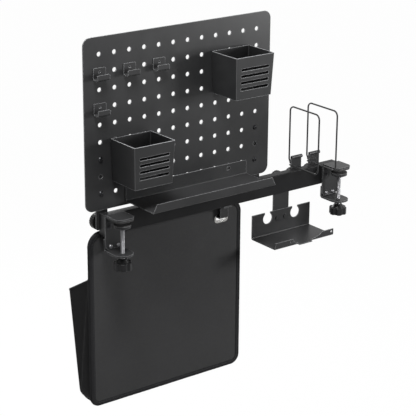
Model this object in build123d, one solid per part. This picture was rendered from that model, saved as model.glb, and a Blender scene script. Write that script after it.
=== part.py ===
from build123d import *
import math
import os

# A desk organizer that clamps to a table's edge: a rail on two screw clamps, which carries
# a pegboard with cups, hooks and a shelf, two wire dividers, a cable tray and a fabric bag.
# X runs along the rail, Y points away from the table and Z is up. The origin is midway
# along the rail, where the table's top meets its edge. All lengths are in millimetres.

# General fits
cut_overrun = 1.0
slide_gap = 0.2
seat_gap = 0.05
turn_clearance = 0.05

# Rail
rail_length = 441.5
rail_height = 31.0
rail_depth = 13.5
rail_wall = 2.0
rail_edge_radius = 1.0
rail_slot_width = 8.4
rail_top = 3.5
cap_plate = 1.2
cap_leg_length = 10.0
cap_leg_height = 3.0

# Clamps
clamp_width = 31.0
clamp_plate = 2.5
clamp_bend_radius = 2.0
clamp_jaw_reach = 33.5
clamp_jaw_corner_radius = 9.0
clamp_flange_gap = 0.1
clamp_flange_corner_radius = 5.0
clamp_opening = 49.0
clamp_lower_bend_radius = 1.5
clamp_lower_flange_gap = 5.0
clamp_collar_diameter = 11.0
clamp_collar_height = 2.5
jaw_pad_thickness = 3.0
jaw_pad_inset = 0.5

# Screws that hold the clamps
joining_screw_spacing = 13.0
joining_screw_rise = 3.4
joining_screw_diameter = 4.0
joining_head_diameter = 6.0
joining_head_height = 2.0
joining_screw_end = 1.0
joining_nut_width = 7.0
joining_nut_height = 3.2
rail_screw_spacing = 18.0
rail_screw_diameter = 5.0
rail_screw_head_diameter = 9.5
rail_screw_reach = 8.5
screw_hole_clearance = 0.15

# Clamp screws, their pads and knobs
screw_axis_reach = 20.5
screw_diameter = 6.5
screw_tip_diameter = 5.0
screw_tip_depth = 5.5
screw_in_knob = 11.0
swivel_pad_top = -5.0
swivel_pad_diameter = 25.0
swivel_pad_thickness = 4.0
swivel_hub_diameter = 12.0
swivel_hub_height = 3.0
swivel_facing_thickness = 1.0
swivel_edge_radius = 0.8
star_knob_gap = 3.5
star_neck_diameter = 12.0
star_neck_height = 5.0
star_shoulder_diameter = 19.0
star_knob_diameter = 27.0
star_knob_height = 11.5
star_lobes = 6
star_notch_diameter = 9.0
star_edge_radius = 1.0

# Pegboard
peg_first_x = -217.45
peg_pitch = 25.4
peg_columns = 12
peg_rows = 9
peg_hole_diameter = 6.5
panel_side_margin = 26.3
panel_top_margin = 24.6
panel_bottom_margin = 24.8
panel_lift = 4.5
panel_thickness = 1.5
panel_corner_radius = 12.0

# Straps that carry the pegboard
strap_width = 19.5
strap_thickness = 2.0
strap_offset = 1.8
strap_end = 10.0
strap_columns = (0, 11)
strap_rows = (6, 8)
strap_corner_radius = 3.0
panel_screw_diameter = 4.0
panel_head_diameter = 7.6
panel_head_height = 2.2
panel_nut_width = 7.0
panel_nut_height = 3.2
panel_screw_end = 0.8

# Sliding bolts in the rail, with their washers and thumb knobs
slide_bolt_diameter = 6.0
slide_head_width = 7.0
slide_head_height = 18.0
slide_head_thickness = 3.0
slide_neck_gap = 0.4
washer_diameter = 14.0
washer_thickness = 1.2
bolt_hole_clearance = 0.2
thumb_hub_diameter = 16.0
thumb_hub_height = 3.0
thumb_knob_diameter = 25.0
thumb_knob_height = 9.0
thumb_grip_grooves = 20
thumb_groove_diameter = 1.8
thumb_edge_radius = 0.8
thumb_bolt_cover = 2.0

# Pen cups
cup_top_width = 70.0
cup_top_depth = 60.0
cup_bottom_width = 65.0
cup_bottom_depth = 57.0
cup_height = 62.8
cup_sheet = 1.2
cup_corner_radius = 2.0
cup_standoff = 2.0
cup_rise = 3.2
cup_slot_count = 4
cup_slot_length = 51.0
cup_slot_height = 4.2
cup_slot_pitch = 9.7
cup_first_slot_drop = 18.3
cup_columns = (2, 9)
cup_rows = (5, 1)

# Tabs that hang a piece in a peg hole
tab_width = 4.6
tab_sheet = 1.2
tab_upturn = 6.0
tab_drop = 2.0
tab_back_gap = 0.4

# Small hooks
hook_width = 20.5
hook_sheet = 1.2
hook_above = 6.4
hook_below = 10.7
hook_reach = 12.0
hook_lip = 9.0
hook_bend_radius = 1.5
hook_dimple_diameter = 4.0
hook_dimple_depth = 0.6
hook_corner_radius = 2.0
hook_places = ((0, 1), (2, 1), (4, 1), (0, 3))

# Shelf
shelf_length = 221.2
shelf_middle_column = 6
shelf_depth = 71.0
shelf_sheet = 1.2
shelf_floor_height = 13.0
shelf_flange_height = 22.4
shelf_lip_height = 13.5
shelf_lip_slant = 6.5
shelf_bend_radius = 1.0
shelf_tab_columns = (3, 9)
shelf_window_width = 5.4
shelf_window_height = 5.0

# Wire dividers
divider_first_place = 147.55
divider_spacing = 36.2
divider_width = 20.5
divider_sheet = 2.0
divider_drop = 11.0
divider_hem_radius = 2.7
divider_hem_bore = 1.4
divider_hem_height = 21.5
wire_diameter = 2.5
wire_rear_set = 2.7
wire_jog_low = 14.5
wire_jog_high = 19.0
wire_jog_radius = 3.0
wire_start = 12.2
wire_top = 104.0
wire_front_reach = 48.0
wire_low_run = 9.5
wire_corner_radius = 8.0

# Cable tray
tray_place = 118.55
tray_width = 117.0
tray_sheet = 1.5
tray_top = -59.0
tray_floor = -98.0
tray_front_reach = 43.0
tray_lip_height = 11.0
tray_bend_radius = 1.5
tray_tongue_reach = 3.0
tray_lip_hole_diameter = 3.5
tray_lip_hole_inset = 4.0
tray_left_tab_shares = (0.30, 0.39)
tray_right_tab_shares = (0.61, 0.81)
tray_keyhole_diameter = 18.0
tray_keyhole_slot = 11.0
tray_keyhole_spacing = 55.2
tray_keyhole_drop = 10.0
hanger_width = 31.0
hanger_sheet = 2.0
hanger_overlap = 21.0
hanger_rise = 11.0
rivet_diameter = 4.0
rivet_head_diameter = 7.0
rivet_head_height = 1.2
rivet_spacing = 16.0
rivet_drop = 13.0

# Bag
bag_place = -98.0
bag_width = 279.5
bag_top = -25.5
bag_bottom = -302.0
bag_middle_y = 21.5
bag_board_thickness = 4.0
bag_top_radius = 22.0
bag_bottom_radius = 16.0
binding_width = 8.0
binding_cloth = 0.8
binding_edge = 1.2
pocket_cloth = 1.6
pocket_inset = 1.5
pocket_front_top = -97.0
pocket_rear_top = -130.0
pocket_top_depth = 57.7
pocket_bottom_depth = 33.6
pocket_bottom_rise = 3.0
pocket_corner_radius = 6.0

# Grommets and the hooks that hold the bag
grommet_inset = 39.0
grommet_drop = 25.8
grommet_width = 25.6
grommet_height = 13.4
grommet_corner_radius = 5.5
grommet_rim = 3.0
grommet_sheet = 0.8
grommet_edge_radius = 0.35
bag_hook_width = 14.5
bag_hook_sheet = 2.0
bag_hook_front = 11.5
bag_hook_foot_gap = 0.6
bag_hook_bend_radius = 1.5
bag_hook_tip_height = 5.0
bag_hook_seat = 0.3
bag_hook_screw_set = 4.6
bag_hook_tip_gap = 0.5
hook_screw_diameter = 3.5
hook_head_diameter = 6.0
hook_head_height = 1.8
hook_screw_reach = 4.0

# Places worked out from the sizes above
rail_front = clamp_plate
rail_back = rail_front + rail_depth
rail_bottom = rail_top - rail_height
rail_middle = (rail_top + rail_bottom) / 2
rail_half = rail_length / 2
slide_face = rail_back + slide_gap
panel_front = slide_face - panel_thickness
panel_bottom = rail_top + panel_lift
peg_bottom_z = panel_bottom + panel_bottom_margin
clamp_centres = {"left": -rail_half + clamp_width / 2, "right": rail_half - clamp_width / 2}
screw_axis_y = -screw_axis_reach
jaw_top = jaw_pad_thickness + clamp_plate
clamp_flange_drop = clamp_opening - clamp_lower_bend_radius - clamp_flange_gap
joining_screw_drop = clamp_flange_drop - joining_screw_rise
star_knob_top = -(clamp_opening + clamp_plate + clamp_collar_height + star_knob_gap)
bag_front = bag_middle_y - bag_board_thickness / 2
bag_back = bag_middle_y + bag_board_thickness / 2
divider_places = (divider_first_place, divider_first_place + divider_spacing)
grommet_z = bag_top - grommet_drop
hook_screw_y = bag_hook_front - bag_hook_screw_set
grommet_places = {
    "left": bag_place - bag_width / 2 + grommet_inset,
    "right": bag_place + bag_width / 2 - grommet_inset,
}


def column_x(column):
    """The X of a column of peg holes, counted from the left."""
    return peg_first_x + column * peg_pitch


def row_z(row):
    """The Z of a row of peg holes, counted from the top."""
    return peg_bottom_z + (peg_rows - 1 - row) * peg_pitch


# Shapes that several pieces use
def block(x_span, y_span, z_span):
    """A box between the low and high X, Y and Z."""
    spans = (x_span, y_span, z_span)
    middle = [(low + high) / 2 for low, high in spans]
    return Pos(*middle) * Box(*[high - low for low, high in spans])


def rod(start, end, radius, top_radius=None):
    """A round bar, or a cone where the end has a radius of its own."""
    run = Vector(*end) - Vector(*start)
    place = Plane(origin=start, z_dir=run)
    low = (Align.CENTER, Align.CENTER, Align.MIN)
    if top_radius is None:
        return place * Cylinder(radius, run.length, align=low)
    return place * Cone(radius, top_radius, run.length, align=low)


def along_y(x, z, y_span, radius):
    """A round bar along Y."""
    return rod((x, y_span[0], z), (x, y_span[1], z), radius)


def along_z(x, y, z_span, radius):
    """A round bar along Z."""
    return rod((x, y, z_span[0]), (x, y, z_span[1]), radius)


def hex_along_y(x, z, y_span, across_flats):
    """A hexagonal bar along Y."""
    low, high = y_span
    outline = Plane(origin=(x, low, z), z_dir=(0, 1, 0)) * RegularPolygon(
        across_flats / 2, 6, major_radius=False
    )
    return extrude(outline, high - low, dir=(0, 1, 0))


def slab(x_span, z_span, y_span, radius):
    """An upright plate with rounded corners, between two Y."""
    width, height = x_span[1] - x_span[0], z_span[1] - z_span[0]
    middle = (sum(x_span) / 2, y_span[0], sum(z_span) / 2)
    outline = Plane(origin=middle, x_dir=(1, 0, 0), z_dir=(0, 1, 0)) * RectangleRounded(
        width, height, radius
    )
    return extrude(outline, y_span[1] - y_span[0], dir=(0, 1, 0))


def side_profile(outline, x_span):
    """A solid whose (Y, Z) outline runs between two X."""
    face = Plane.YZ.offset(x_span[0]) * make_face(outline)
    return extrude(face, x_span[1] - x_span[0], dir=(1, 0, 0))


def bent_sheet(path, sheet, bend_radius, x_span):
    """A sheet bent along the middle line through (Y, Z) points, with rounded bends."""
    points = [Vector(*p) for p in path]
    runs = [(b - a).normalized() for a, b in zip(points, points[1:])]
    sides = {}
    for side in (1, -1):
        line, radii = [], []
        for i, point in enumerate(points):
            before = runs[max(i - 1, 0)]
            after = runs[min(i, len(runs) - 1)]
            normal = (Vector(-before.Y, before.X) + Vector(-after.Y, after.X)).normalized()
            reach = sheet / 2 / normal.dot(Vector(-after.Y, after.X))
            line.append(point + normal * (side * reach))
            if 0 < i < len(points) - 1:
                turn = before.X * after.Y - before.Y * after.X
                radii.append(bend_radius if turn * side > 0 else bend_radius + sheet)
        sides[side] = FilletPolyline(*line, radius=radii) if radii else Line(*line)
    outline = [
        sides[1],
        Line(sides[1] @ 1, sides[-1] @ 1),
        sides[-1],
        Line(sides[-1] @ 0, sides[1] @ 0),
    ]
    return side_profile(outline, x_span)


def rounded(solid, axis, radius, low=None, high=None, across=Axis.Y):
    """The solid with its edges along an axis rounded, between two places across it."""
    edges = solid.edges().filter_by(axis)
    edges = edges.filter_by_position(across, low, high)
    return fillet(edges, radius)


def group(solids):
    """Separate solids kept in one node."""
    return Compound(children=[s.solid() for s in solids])


def keep(node, shape):
    """Writes one node's solids."""
    shape.label = node
    export_step(shape, f"parts/{node}.step")


# Rail and its end caps
def rail():
    """A channel with a slot along its back, and holes for what is screwed to it."""
    middle = (0, (rail_front + rail_back) / 2, rail_middle)
    length = rail_length - 2 * cap_plate
    section = RectangleRounded(rail_depth, rail_height, rail_edge_radius)
    section -= Rectangle(rail_depth - 2 * rail_wall, rail_height - 2 * rail_wall)
    slot_depth = rail_wall + cut_overrun
    section -= Pos(rail_depth / 2, 0) * Rectangle(2 * slot_depth, rail_slot_width)
    face = Plane(origin=middle, x_dir=(0, 1, 0), z_dir=(1, 0, 0)) * section
    solid = extrude(face, length / 2, dir=(1, 0, 0), both=True)
    hole = rail_screw_diameter / 2 + screw_hole_clearance
    front = (rail_front - cut_overrun, rail_front + rail_wall + cut_overrun)
    for x in rail_screw_places():
        solid -= along_y(x, rail_middle, front, hole)
    hole = hook_screw_diameter / 2 + screw_hole_clearance
    floor = (rail_bottom - cut_overrun, rail_bottom + rail_wall + cut_overrun)
    for x in grommet_places.values():
        solid -= along_z(x, hook_screw_y, floor, hole)
    return solid


def rail_end_cap(side):
    """A plate over the rail's end, with two legs that hold it in the channel."""
    out = {"left": -1, "right": 1}[side]
    x_out, x_in = out * rail_half, out * (rail_half - cap_plate)
    middle = (x_in, (rail_front + rail_back) / 2, rail_middle)
    face = Plane(origin=middle, x_dir=(0, 1, 0), z_dir=(1, 0, 0)) * RectangleRounded(
        rail_depth, rail_height, rail_edge_radius
    )
    solid = extrude(face, cap_plate, dir=(out, 0, 0))
    x_span = sorted((x_out, x_in - out * cap_leg_length))
    y_span = (rail_front + rail_wall + seat_gap, rail_back - rail_wall - seat_gap)
    low = rail_bottom + rail_wall + seat_gap
    high = rail_top - rail_wall - seat_gap
    solid += block(x_span, y_span, (low, low + cap_leg_height))
    solid += block(x_span, y_span, (high - cap_leg_height, high))
    return solid


# Clamps
def rail_screw_places():
    """The X of each screw that holds a clamp to the rail."""
    return [
        centre + share * rail_screw_spacing
        for centre in clamp_centres.values()
        for share in (-0.5, 0.5)
    ]


def joining_screw_places(sides=("left", "right")):
    """The X of each screw that joins a clamp's two brackets."""
    return [
        clamp_centres[side] + share * joining_screw_spacing
        for side in sides
        for share in (-0.5, 0.5)
    ]


def clamp_span(side):
    """The X of a clamp's two edges."""
    return (clamp_centres[side] - clamp_width / 2, clamp_centres[side] + clamp_width / 2)


def clamp_upper(side):
    """The top jaw and the flange that lies on the rail."""
    jaw_z = jaw_pad_thickness + clamp_plate / 2
    path = [
        (-clamp_jaw_reach, jaw_z),
        (clamp_plate / 2, jaw_z),
        (clamp_plate / 2, -clamp_flange_drop),
    ]
    solid = bent_sheet(path, clamp_plate, clamp_bend_radius, clamp_span(side))
    tip = -clamp_jaw_reach
    solid = rounded(solid, Axis.Z, clamp_jaw_corner_radius, tip - cut_overrun, tip + cut_overrun)
    foot = -clamp_flange_drop
    solid = rounded(
        solid, Axis.Y, clamp_flange_corner_radius, foot - cut_overrun, foot + cut_overrun, Axis.Z
    )
    through = (-cut_overrun, clamp_plate + cut_overrun)
    hole = joining_screw_diameter / 2 + screw_hole_clearance
    for x in joining_screw_places((side,)):
        solid -= along_y(x, -joining_screw_drop, through, hole)
    for x in rail_screw_places():
        if abs(x - clamp_centres[side]) < clamp_width / 2:
            solid -= countersunk(x, screw_hole_clearance)
    return solid


def countersunk(x, clearance):
    """A flat-headed screw from the clamp's front into the rail, or the hole for one."""
    head = rail_screw_head_diameter / 2 + clearance
    shank = rail_screw_diameter / 2 + clearance
    tip = (x, head - shank, rail_middle)
    solid = rod((x, 0, rail_middle), tip, head, shank)
    return solid + rod(tip, (x, rail_screw_reach, rail_middle), shank)


def jaw_pad(side):
    """The soft pad under the top jaw."""
    low, high = clamp_span(side)
    tip = jaw_pad_inset - clamp_jaw_reach
    solid = block(
        (low + jaw_pad_inset, high - jaw_pad_inset),
        (tip, -clamp_bend_radius - jaw_pad_inset),
        (0, jaw_pad_thickness),
    )
    radius = clamp_jaw_corner_radius - jaw_pad_inset
    return rounded(solid, Axis.Z, radius, tip - cut_overrun, tip + cut_overrun)


def clamp_lower(side):
    """The lower bracket, with a round end about the screw and a threaded collar."""
    centre = clamp_centres[side]
    low_z = -clamp_opening - clamp_plate
    flange_y = clamp_plate + clamp_plate / 2
    path = [
        (flange_y, rail_bottom - clamp_lower_flange_gap),
        (flange_y, low_z + clamp_plate / 2),
        (screw_axis_y, low_z + clamp_plate / 2),
    ]
    solid = bent_sheet(path, clamp_plate, clamp_lower_bend_radius, clamp_span(side))
    solid += along_z(centre, screw_axis_y, (low_z, -clamp_opening), clamp_width / 2)
    collar = (low_z - clamp_collar_height, low_z)
    solid += along_z(centre, screw_axis_y, collar, clamp_collar_diameter / 2)
    through = (collar[0] - cut_overrun, cut_overrun - clamp_opening)
    solid -= along_z(centre, screw_axis_y, through, screw_diameter / 2 + turn_clearance)
    hole = joining_screw_diameter / 2 + screw_hole_clearance
    through = (clamp_plate - cut_overrun, 2 * clamp_plate + cut_overrun)
    for x in joining_screw_places((side,)):
        solid -= along_y(x, -joining_screw_drop, through, hole)
    return solid


def joining_screw(x):
    """A round-headed screw through both brackets of a clamp."""
    end = 2 * clamp_plate + joining_nut_height + joining_screw_end
    head = along_y(x, -joining_screw_drop, (-joining_head_height, 0), joining_head_diameter / 2)
    front = head.edges().filter_by_position(Axis.Y, -joining_head_height, -joining_head_height)
    head = fillet(front, joining_head_height / 2)
    return head + along_y(x, -joining_screw_drop, (0, end), joining_screw_diameter / 2)


def joining_nut(x):
    """A nut behind a clamp's brackets."""
    y_span = (2 * clamp_plate, 2 * clamp_plate + joining_nut_height)
    nut = hex_along_y(x, -joining_screw_drop, y_span, joining_nut_width)
    hole = (y_span[0] - cut_overrun, y_span[1] + cut_overrun)
    return nut - along_y(x, -joining_screw_drop, hole, joining_screw_diameter / 2 + seat_gap)


def swivel_pad(side):
    """The disc on the screw's tip that presses under the table."""
    x = clamp_centres[side]
    top = swivel_pad_top - swivel_facing_thickness
    under = top - swivel_pad_thickness
    solid = along_z(x, screw_axis_y, (under, top), swivel_pad_diameter / 2)
    solid = fillet(solid.edges().filter_by_position(Axis.Z, under, under), swivel_edge_radius)
    hub = (under - swivel_hub_height, under)
    solid += along_z(x, screw_axis_y, hub, swivel_hub_diameter / 2)
    socket = (hub[0] - cut_overrun, hub[0] + screw_tip_depth + slide_gap)
    return solid - along_z(x, screw_axis_y, socket, screw_tip_diameter / 2 + turn_clearance)


def swivel_facing(side):
    """The thin rubber disc on the swivel pad."""
    span = (swivel_pad_top - swivel_facing_thickness, swivel_pad_top)
    return along_z(clamp_centres[side], screw_axis_y, span, swivel_pad_diameter / 2)


def swivel_hub_bottom():
    """The Z of the swivel pad's lowest face."""
    return swivel_pad_top - swivel_facing_thickness - swivel_pad_thickness - swivel_hub_height


def clamp_screw(side):
    """The threaded rod, with a thinner tip in the swivel pad."""
    x = clamp_centres[side]
    shoulder = swivel_hub_bottom() - slide_gap
    end = star_knob_top - screw_in_knob
    solid = along_z(x, screw_axis_y, (end, shoulder), screw_diameter / 2)
    tip = (shoulder, swivel_hub_bottom() + screw_tip_depth)
    return solid + along_z(x, screw_axis_y, tip, screw_tip_diameter / 2)


def clamp_knob(side):
    """The lobed hand knob with its tapered neck."""
    x = clamp_centres[side]
    shoulder = star_knob_top - star_neck_height
    bottom = shoulder - star_knob_height
    body = along_z(x, screw_axis_y, (bottom, shoulder), star_knob_diameter / 2)
    reach = star_knob_diameter / 2 + star_notch_diameter / 4
    for i in range(star_lobes):
        turn = math.radians((i + 0.5) * 360 / star_lobes)
        place = (x + reach * math.cos(turn), screw_axis_y + reach * math.sin(turn))
        cut = (bottom - cut_overrun, shoulder + cut_overrun)
        body -= along_z(*place, cut, star_notch_diameter / 2)
    body = fillet(body.edges().filter_by(Plane.XY), star_edge_radius)
    start, end = (x, screw_axis_y, shoulder), (x, screw_axis_y, star_knob_top)
    body += rod(start, end, star_shoulder_diameter / 2, star_neck_diameter / 2)
    bore = (star_knob_top - screw_in_knob, star_knob_top + cut_overrun)
    return body - along_z(x, screw_axis_y, bore, screw_diameter / 2 + seat_gap)


# Pegboard and what holds it
def pegboard_panel():
    """The plate with its grid of peg holes."""
    x_span = (column_x(0) - panel_side_margin, column_x(peg_columns - 1) + panel_side_margin)
    z_span = (panel_bottom, row_z(0) + panel_top_margin)
    solid = slab(x_span, z_span, (panel_front, slide_face), panel_corner_radius)
    through = (panel_front - cut_overrun, slide_face + cut_overrun)
    holes = [
        along_y(column_x(column), row_z(row), through, peg_hole_diameter / 2)
        for column in range(peg_columns)
        for row in range(peg_rows)
    ]
    return solid - holes


def strap_x(column):
    """The X of a strap's middle line."""
    return column_x(column) + strap_offset


def panel_strap(column):
    """A flat bar behind the pegboard that reaches down behind the rail."""
    x = strap_x(column)
    x_span = (x - strap_width / 2, x + strap_width / 2)
    z_span = (rail_middle - strap_end, row_z(strap_rows[0]) + strap_end)
    y_span = (slide_face, slide_face + strap_thickness)
    solid = slab(x_span, z_span, y_span, strap_corner_radius)
    through = (slide_face - cut_overrun, slide_face + strap_thickness + cut_overrun)
    hole = panel_screw_diameter / 2 + screw_hole_clearance
    for row in strap_rows:
        solid -= along_y(column_x(column), row_z(row), through, hole)
    return solid - along_y(x, rail_middle, through, slide_bolt_diameter / 2 + bolt_hole_clearance)


def panel_screw(column, row):
    """A round-headed screw through a peg hole and a strap."""
    x, z = column_x(column), row_z(row)
    end = slide_face + strap_thickness + panel_nut_height + panel_screw_end
    head = along_y(x, z, (panel_front - panel_head_height, panel_front), panel_head_diameter / 2)
    face = panel_front - panel_head_height
    head = fillet(head.edges().filter_by_position(Axis.Y, face, face), panel_head_height / 2)
    return head + along_y(x, z, (panel_front, end), panel_screw_diameter / 2)


def panel_nut(column, row):
    """The nut of a panel screw."""
    x, z = column_x(column), row_z(row)
    low = slide_face + strap_thickness
    nut = hex_along_y(x, z, (low, low + panel_nut_height), panel_nut_width)
    hole = (low - cut_overrun, low + panel_nut_height + cut_overrun)
    return nut - along_y(x, z, hole, panel_screw_diameter / 2 + seat_gap)


def slide_bolt(x, sheet):
    """A bolt whose flat head slides in the rail, through a sheet behind the rail."""
    inner = rail_back - rail_wall - slide_gap
    half = slide_head_width / 2
    neck = rail_slot_width / 2 - slide_neck_gap
    end = slide_face + sheet + washer_thickness + thumb_hub_height + thumb_knob_height
    solid = block(
        (x - half, x + half),
        (inner - slide_head_thickness, inner),
        (rail_middle - slide_head_height / 2, rail_middle + slide_head_height / 2),
    )
    solid += block((x - half, x + half), (inner, rail_back), (rail_middle - neck, rail_middle + neck))
    shank = (rail_back, end - thumb_bolt_cover)
    return solid + along_y(x, rail_middle, shank, slide_bolt_diameter / 2)


def washer(x, sheet):
    """The washer between a sheet and its thumb knob."""
    low = slide_face + sheet
    ring = along_y(x, rail_middle, (low, low + washer_thickness), washer_diameter / 2)
    hole = (low - cut_overrun, low + washer_thickness + cut_overrun)
    return ring - along_y(x, rail_middle, hole, slide_bolt_diameter / 2 + bolt_hole_clearance)


def thumb_knob(x, sheet):
    """A round knob with a grooved rim, threaded on a slide bolt."""
    seat = slide_face + sheet + washer_thickness + seat_gap
    rim = seat + thumb_hub_height
    end = rim + thumb_knob_height
    disc = along_y(x, rail_middle, (rim, end), thumb_knob_diameter / 2)
    disc = fillet(disc.edges().filter_by(GeomType.CIRCLE), thumb_edge_radius)
    grooves = []
    for i in range(thumb_grip_grooves):
        turn = math.radians(i * 360 / thumb_grip_grooves)
        reach = thumb_knob_diameter / 2
        place = (x + reach * math.cos(turn), rail_middle + reach * math.sin(turn))
        cut = (rim - cut_overrun, end + cut_overrun)
        grooves.append(along_y(*place, cut, thumb_groove_diameter / 2))
    disc -= grooves
    disc += along_y(x, rail_middle, (seat, rim), thumb_hub_diameter / 2)
    bore = (seat - cut_overrun, end - thumb_bolt_cover + slide_gap)
    return disc - along_y(x, rail_middle, bore, slide_bolt_diameter / 2 + turn_clearance)


# Pieces that hang on the pegboard
def peg_tab(column, row, front):
    """A tab from a front plane through a peg hole, turned up behind the panel."""
    x, low = column_x(column), row_z(row) - tab_drop
    x_span = (x - tab_width / 2, x + tab_width / 2)
    back = slide_face + tab_back_gap
    solid = block(x_span, (front, back + tab_sheet), (low, low + tab_sheet))
    return solid + block(x_span, (back, back + tab_sheet), (low, low + tab_sheet + tab_upturn))


def pen_cup(column, row):
    """A tapered cup of folded sheet with slots in its front and two tabs behind."""
    x, top = column_x(column), row_z(row) + cup_rise
    back = panel_front - cup_standoff

    def section(inset, z):
        share = (top - z) / cup_height
        width = cup_top_width + (cup_bottom_width - cup_top_width) * share - 2 * inset
        depth = cup_top_depth + (cup_bottom_depth - cup_top_depth) * share - 2 * inset
        return Pos(x, back - inset - depth / 2, z) * RectangleRounded(
            width, depth, cup_corner_radius - inset / 2
        )

    bottom = top - cup_height
    solid = loft([section(0, bottom), section(0, top)])
    solid -= loft([section(cup_sheet, bottom + cup_sheet), section(cup_sheet, top + cut_overrun)])
    front = back - max(cup_top_depth, cup_bottom_depth) - cut_overrun
    half = cup_slot_length / 2
    for i in range(cup_slot_count):
        z = top - cup_first_slot_drop - i * cup_slot_pitch
        rise = cup_slot_height / 2
        cut = (front, back - min(cup_top_depth, cup_bottom_depth) / 2)
        solid -= slab((x - half, x + half), (z - rise, z + rise), cut, cup_slot_height / 4)
    for peg in (column - 1, column + 1):
        solid += peg_tab(peg, row, back - cup_sheet)
    return solid


def small_hook(column, row):
    """A strip bent into a hook, with a dimple in front and a tab in the peg hole."""
    x, z = column_x(column), row_z(row)
    x_span = (x - hook_width / 2, x + hook_width / 2)
    back = panel_front - hook_sheet / 2
    low = z - hook_below + hook_sheet / 2
    front = panel_front - hook_reach + hook_sheet / 2
    path = [(back, z + hook_above), (back, low), (front, low), (front, z - hook_below + hook_lip)]
    solid = bent_sheet(path, hook_sheet, hook_bend_radius, x_span)
    top = z + hook_above
    solid = rounded(solid, Axis.Y, hook_corner_radius, top - seat_gap, top + seat_gap, Axis.Z)
    lip = z - hook_below + hook_lip
    solid = rounded(solid, Axis.Y, hook_corner_radius, lip - seat_gap, lip + seat_gap, Axis.Z)
    face = panel_front - hook_sheet
    dimple = (face - cut_overrun, face + hook_dimple_depth)
    solid -= along_y(x, z, dimple, hook_dimple_diameter / 2)
    return solid + peg_tab(column, row, panel_front - hook_sheet)


def shelf():
    """A long ledge of bent sheet with a raised front lip, hung by two tabs."""
    x = column_x(shelf_middle_column)
    x_span = (x - shelf_length / 2, x + shelf_length / 2)
    half = shelf_sheet / 2
    back, front = panel_front - half, panel_front - shelf_depth + half
    floor = shelf_floor_height + half
    path = [
        (back, shelf_floor_height + shelf_flange_height),
        (back, floor),
        (front, floor),
        (front, shelf_floor_height + shelf_lip_height),
    ]
    solid = bent_sheet(path, shelf_sheet, shelf_bend_radius, x_span)
    lip_top = shelf_floor_height + shelf_lip_height
    fold = shelf_floor_height + shelf_sheet + shelf_bend_radius
    cut = (front - half - cut_overrun, front + half + cut_overrun)
    for end, inward in ((x_span[0], 1), (x_span[1], -1)):
        corner = Polyline(
            (end, fold),
            (end + inward * shelf_lip_slant, lip_top + cut_overrun),
            (end - inward * cut_overrun, lip_top + cut_overrun),
            (end - inward * cut_overrun, fold),
            close=True,
        )
        face = Plane(origin=(0, cut[0], 0), x_dir=(1, 0, 0), z_dir=(0, -1, 0)) * make_face(corner)
        solid -= extrude(face, cut[1] - cut[0], dir=(0, 1, 0))
    row = peg_rows - 1
    for column in shelf_tab_columns:
        window_top = row_z(row) - tab_drop
        x = column_x(column)
        window = (x - shelf_window_width / 2, x + shelf_window_width / 2)
        through = (panel_front - shelf_sheet - cut_overrun, panel_front + cut_overrun)
        solid -= block(window, through, (window_top - shelf_window_height, window_top))
        solid += peg_tab(column, row, panel_front - shelf_sheet)
    return solid


# Wire dividers
def divider_bracket(x):
    """An upright behind the rail with a rolled top."""
    x_span = (x - divider_width / 2, x + divider_width / 2)
    y_span = (slide_face, slide_face + divider_sheet)
    solid = block(x_span, y_span, (rail_middle - divider_drop, divider_hem_height))
    hem = (y_span[1] - divider_hem_radius, divider_hem_height)
    start, end = (x_span[0], *hem), (x_span[1], *hem)
    solid += rod(start, end, divider_hem_radius)
    start, end = (x_span[0] - cut_overrun, *hem), (x_span[1] + cut_overrun, *hem)
    solid -= rod(start, end, divider_hem_bore)
    through = (y_span[0] - cut_overrun, y_span[1] + cut_overrun)
    hole = slide_bolt_diameter / 2 + bolt_hole_clearance
    return solid - along_y(x, rail_middle, through, hole)


def divider_wire(x):
    """A bent wire fixed along the bracket's left edge, reaching forward over the table."""
    plane_x = x - divider_width / 2 - wire_diameter / 2
    stem = slide_face + divider_sheet / 2
    rear = stem + wire_rear_set
    points = [
        (stem, wire_start),
        (stem, wire_jog_low),
        (rear, wire_jog_high),
        (rear, wire_top),
        (-wire_front_reach, wire_top),
        (-wire_front_reach, wire_low_run),
        (slide_face + divider_sheet, wire_low_run),
    ]
    radii = [wire_jog_radius, wire_jog_radius] + [wire_corner_radius] * 3
    path = FilletPolyline(*[(plane_x, y, z) for y, z in points], radius=radii)
    solid = sweep(Plane(origin=path @ 0, z_dir=path % 0) * Circle(wire_diameter / 2), path)
    share = solid.volume / (math.pi * wire_diameter**2 / 4 * path.length)
    print(f"wire length {path.length:.1f} mm, volume over section times length {share:.4f}")
    return solid


# Cable tray
def tray_hanger():
    """The strip that carries the cable tray from the back of the rail."""
    x_span = (tray_place - hanger_width / 2, tray_place + hanger_width / 2)
    y_span = (slide_face, slide_face + hanger_sheet)
    solid = block(x_span, y_span, (tray_top - hanger_overlap, rail_middle + hanger_rise))
    through = (y_span[0] - cut_overrun, y_span[1] + cut_overrun)
    hole = slide_bolt_diameter / 2 + bolt_hole_clearance
    solid -= along_y(tray_place, rail_middle, through, hole)
    for x in rivet_places():
        solid -= along_y(x, tray_top - rivet_drop, through, rivet_diameter / 2 + seat_gap)
    return solid


def rivet_places():
    """The X of each rivet of the cable tray."""
    return [tray_place - rivet_spacing / 2, tray_place + rivet_spacing / 2]


def tray_rivet(x):
    """A rivet through the tray's back and its hanger, with a head on each side."""
    z = tray_top - rivet_drop
    front, back = slide_face - tray_sheet, slide_face + hanger_sheet
    solid = along_y(x, z, (front - rivet_head_height, front), rivet_head_diameter / 2)
    solid += along_y(x, z, (front, back), rivet_diameter / 2)
    return solid + along_y(x, z, (back, back + rivet_head_height), rivet_head_diameter / 2)


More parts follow.
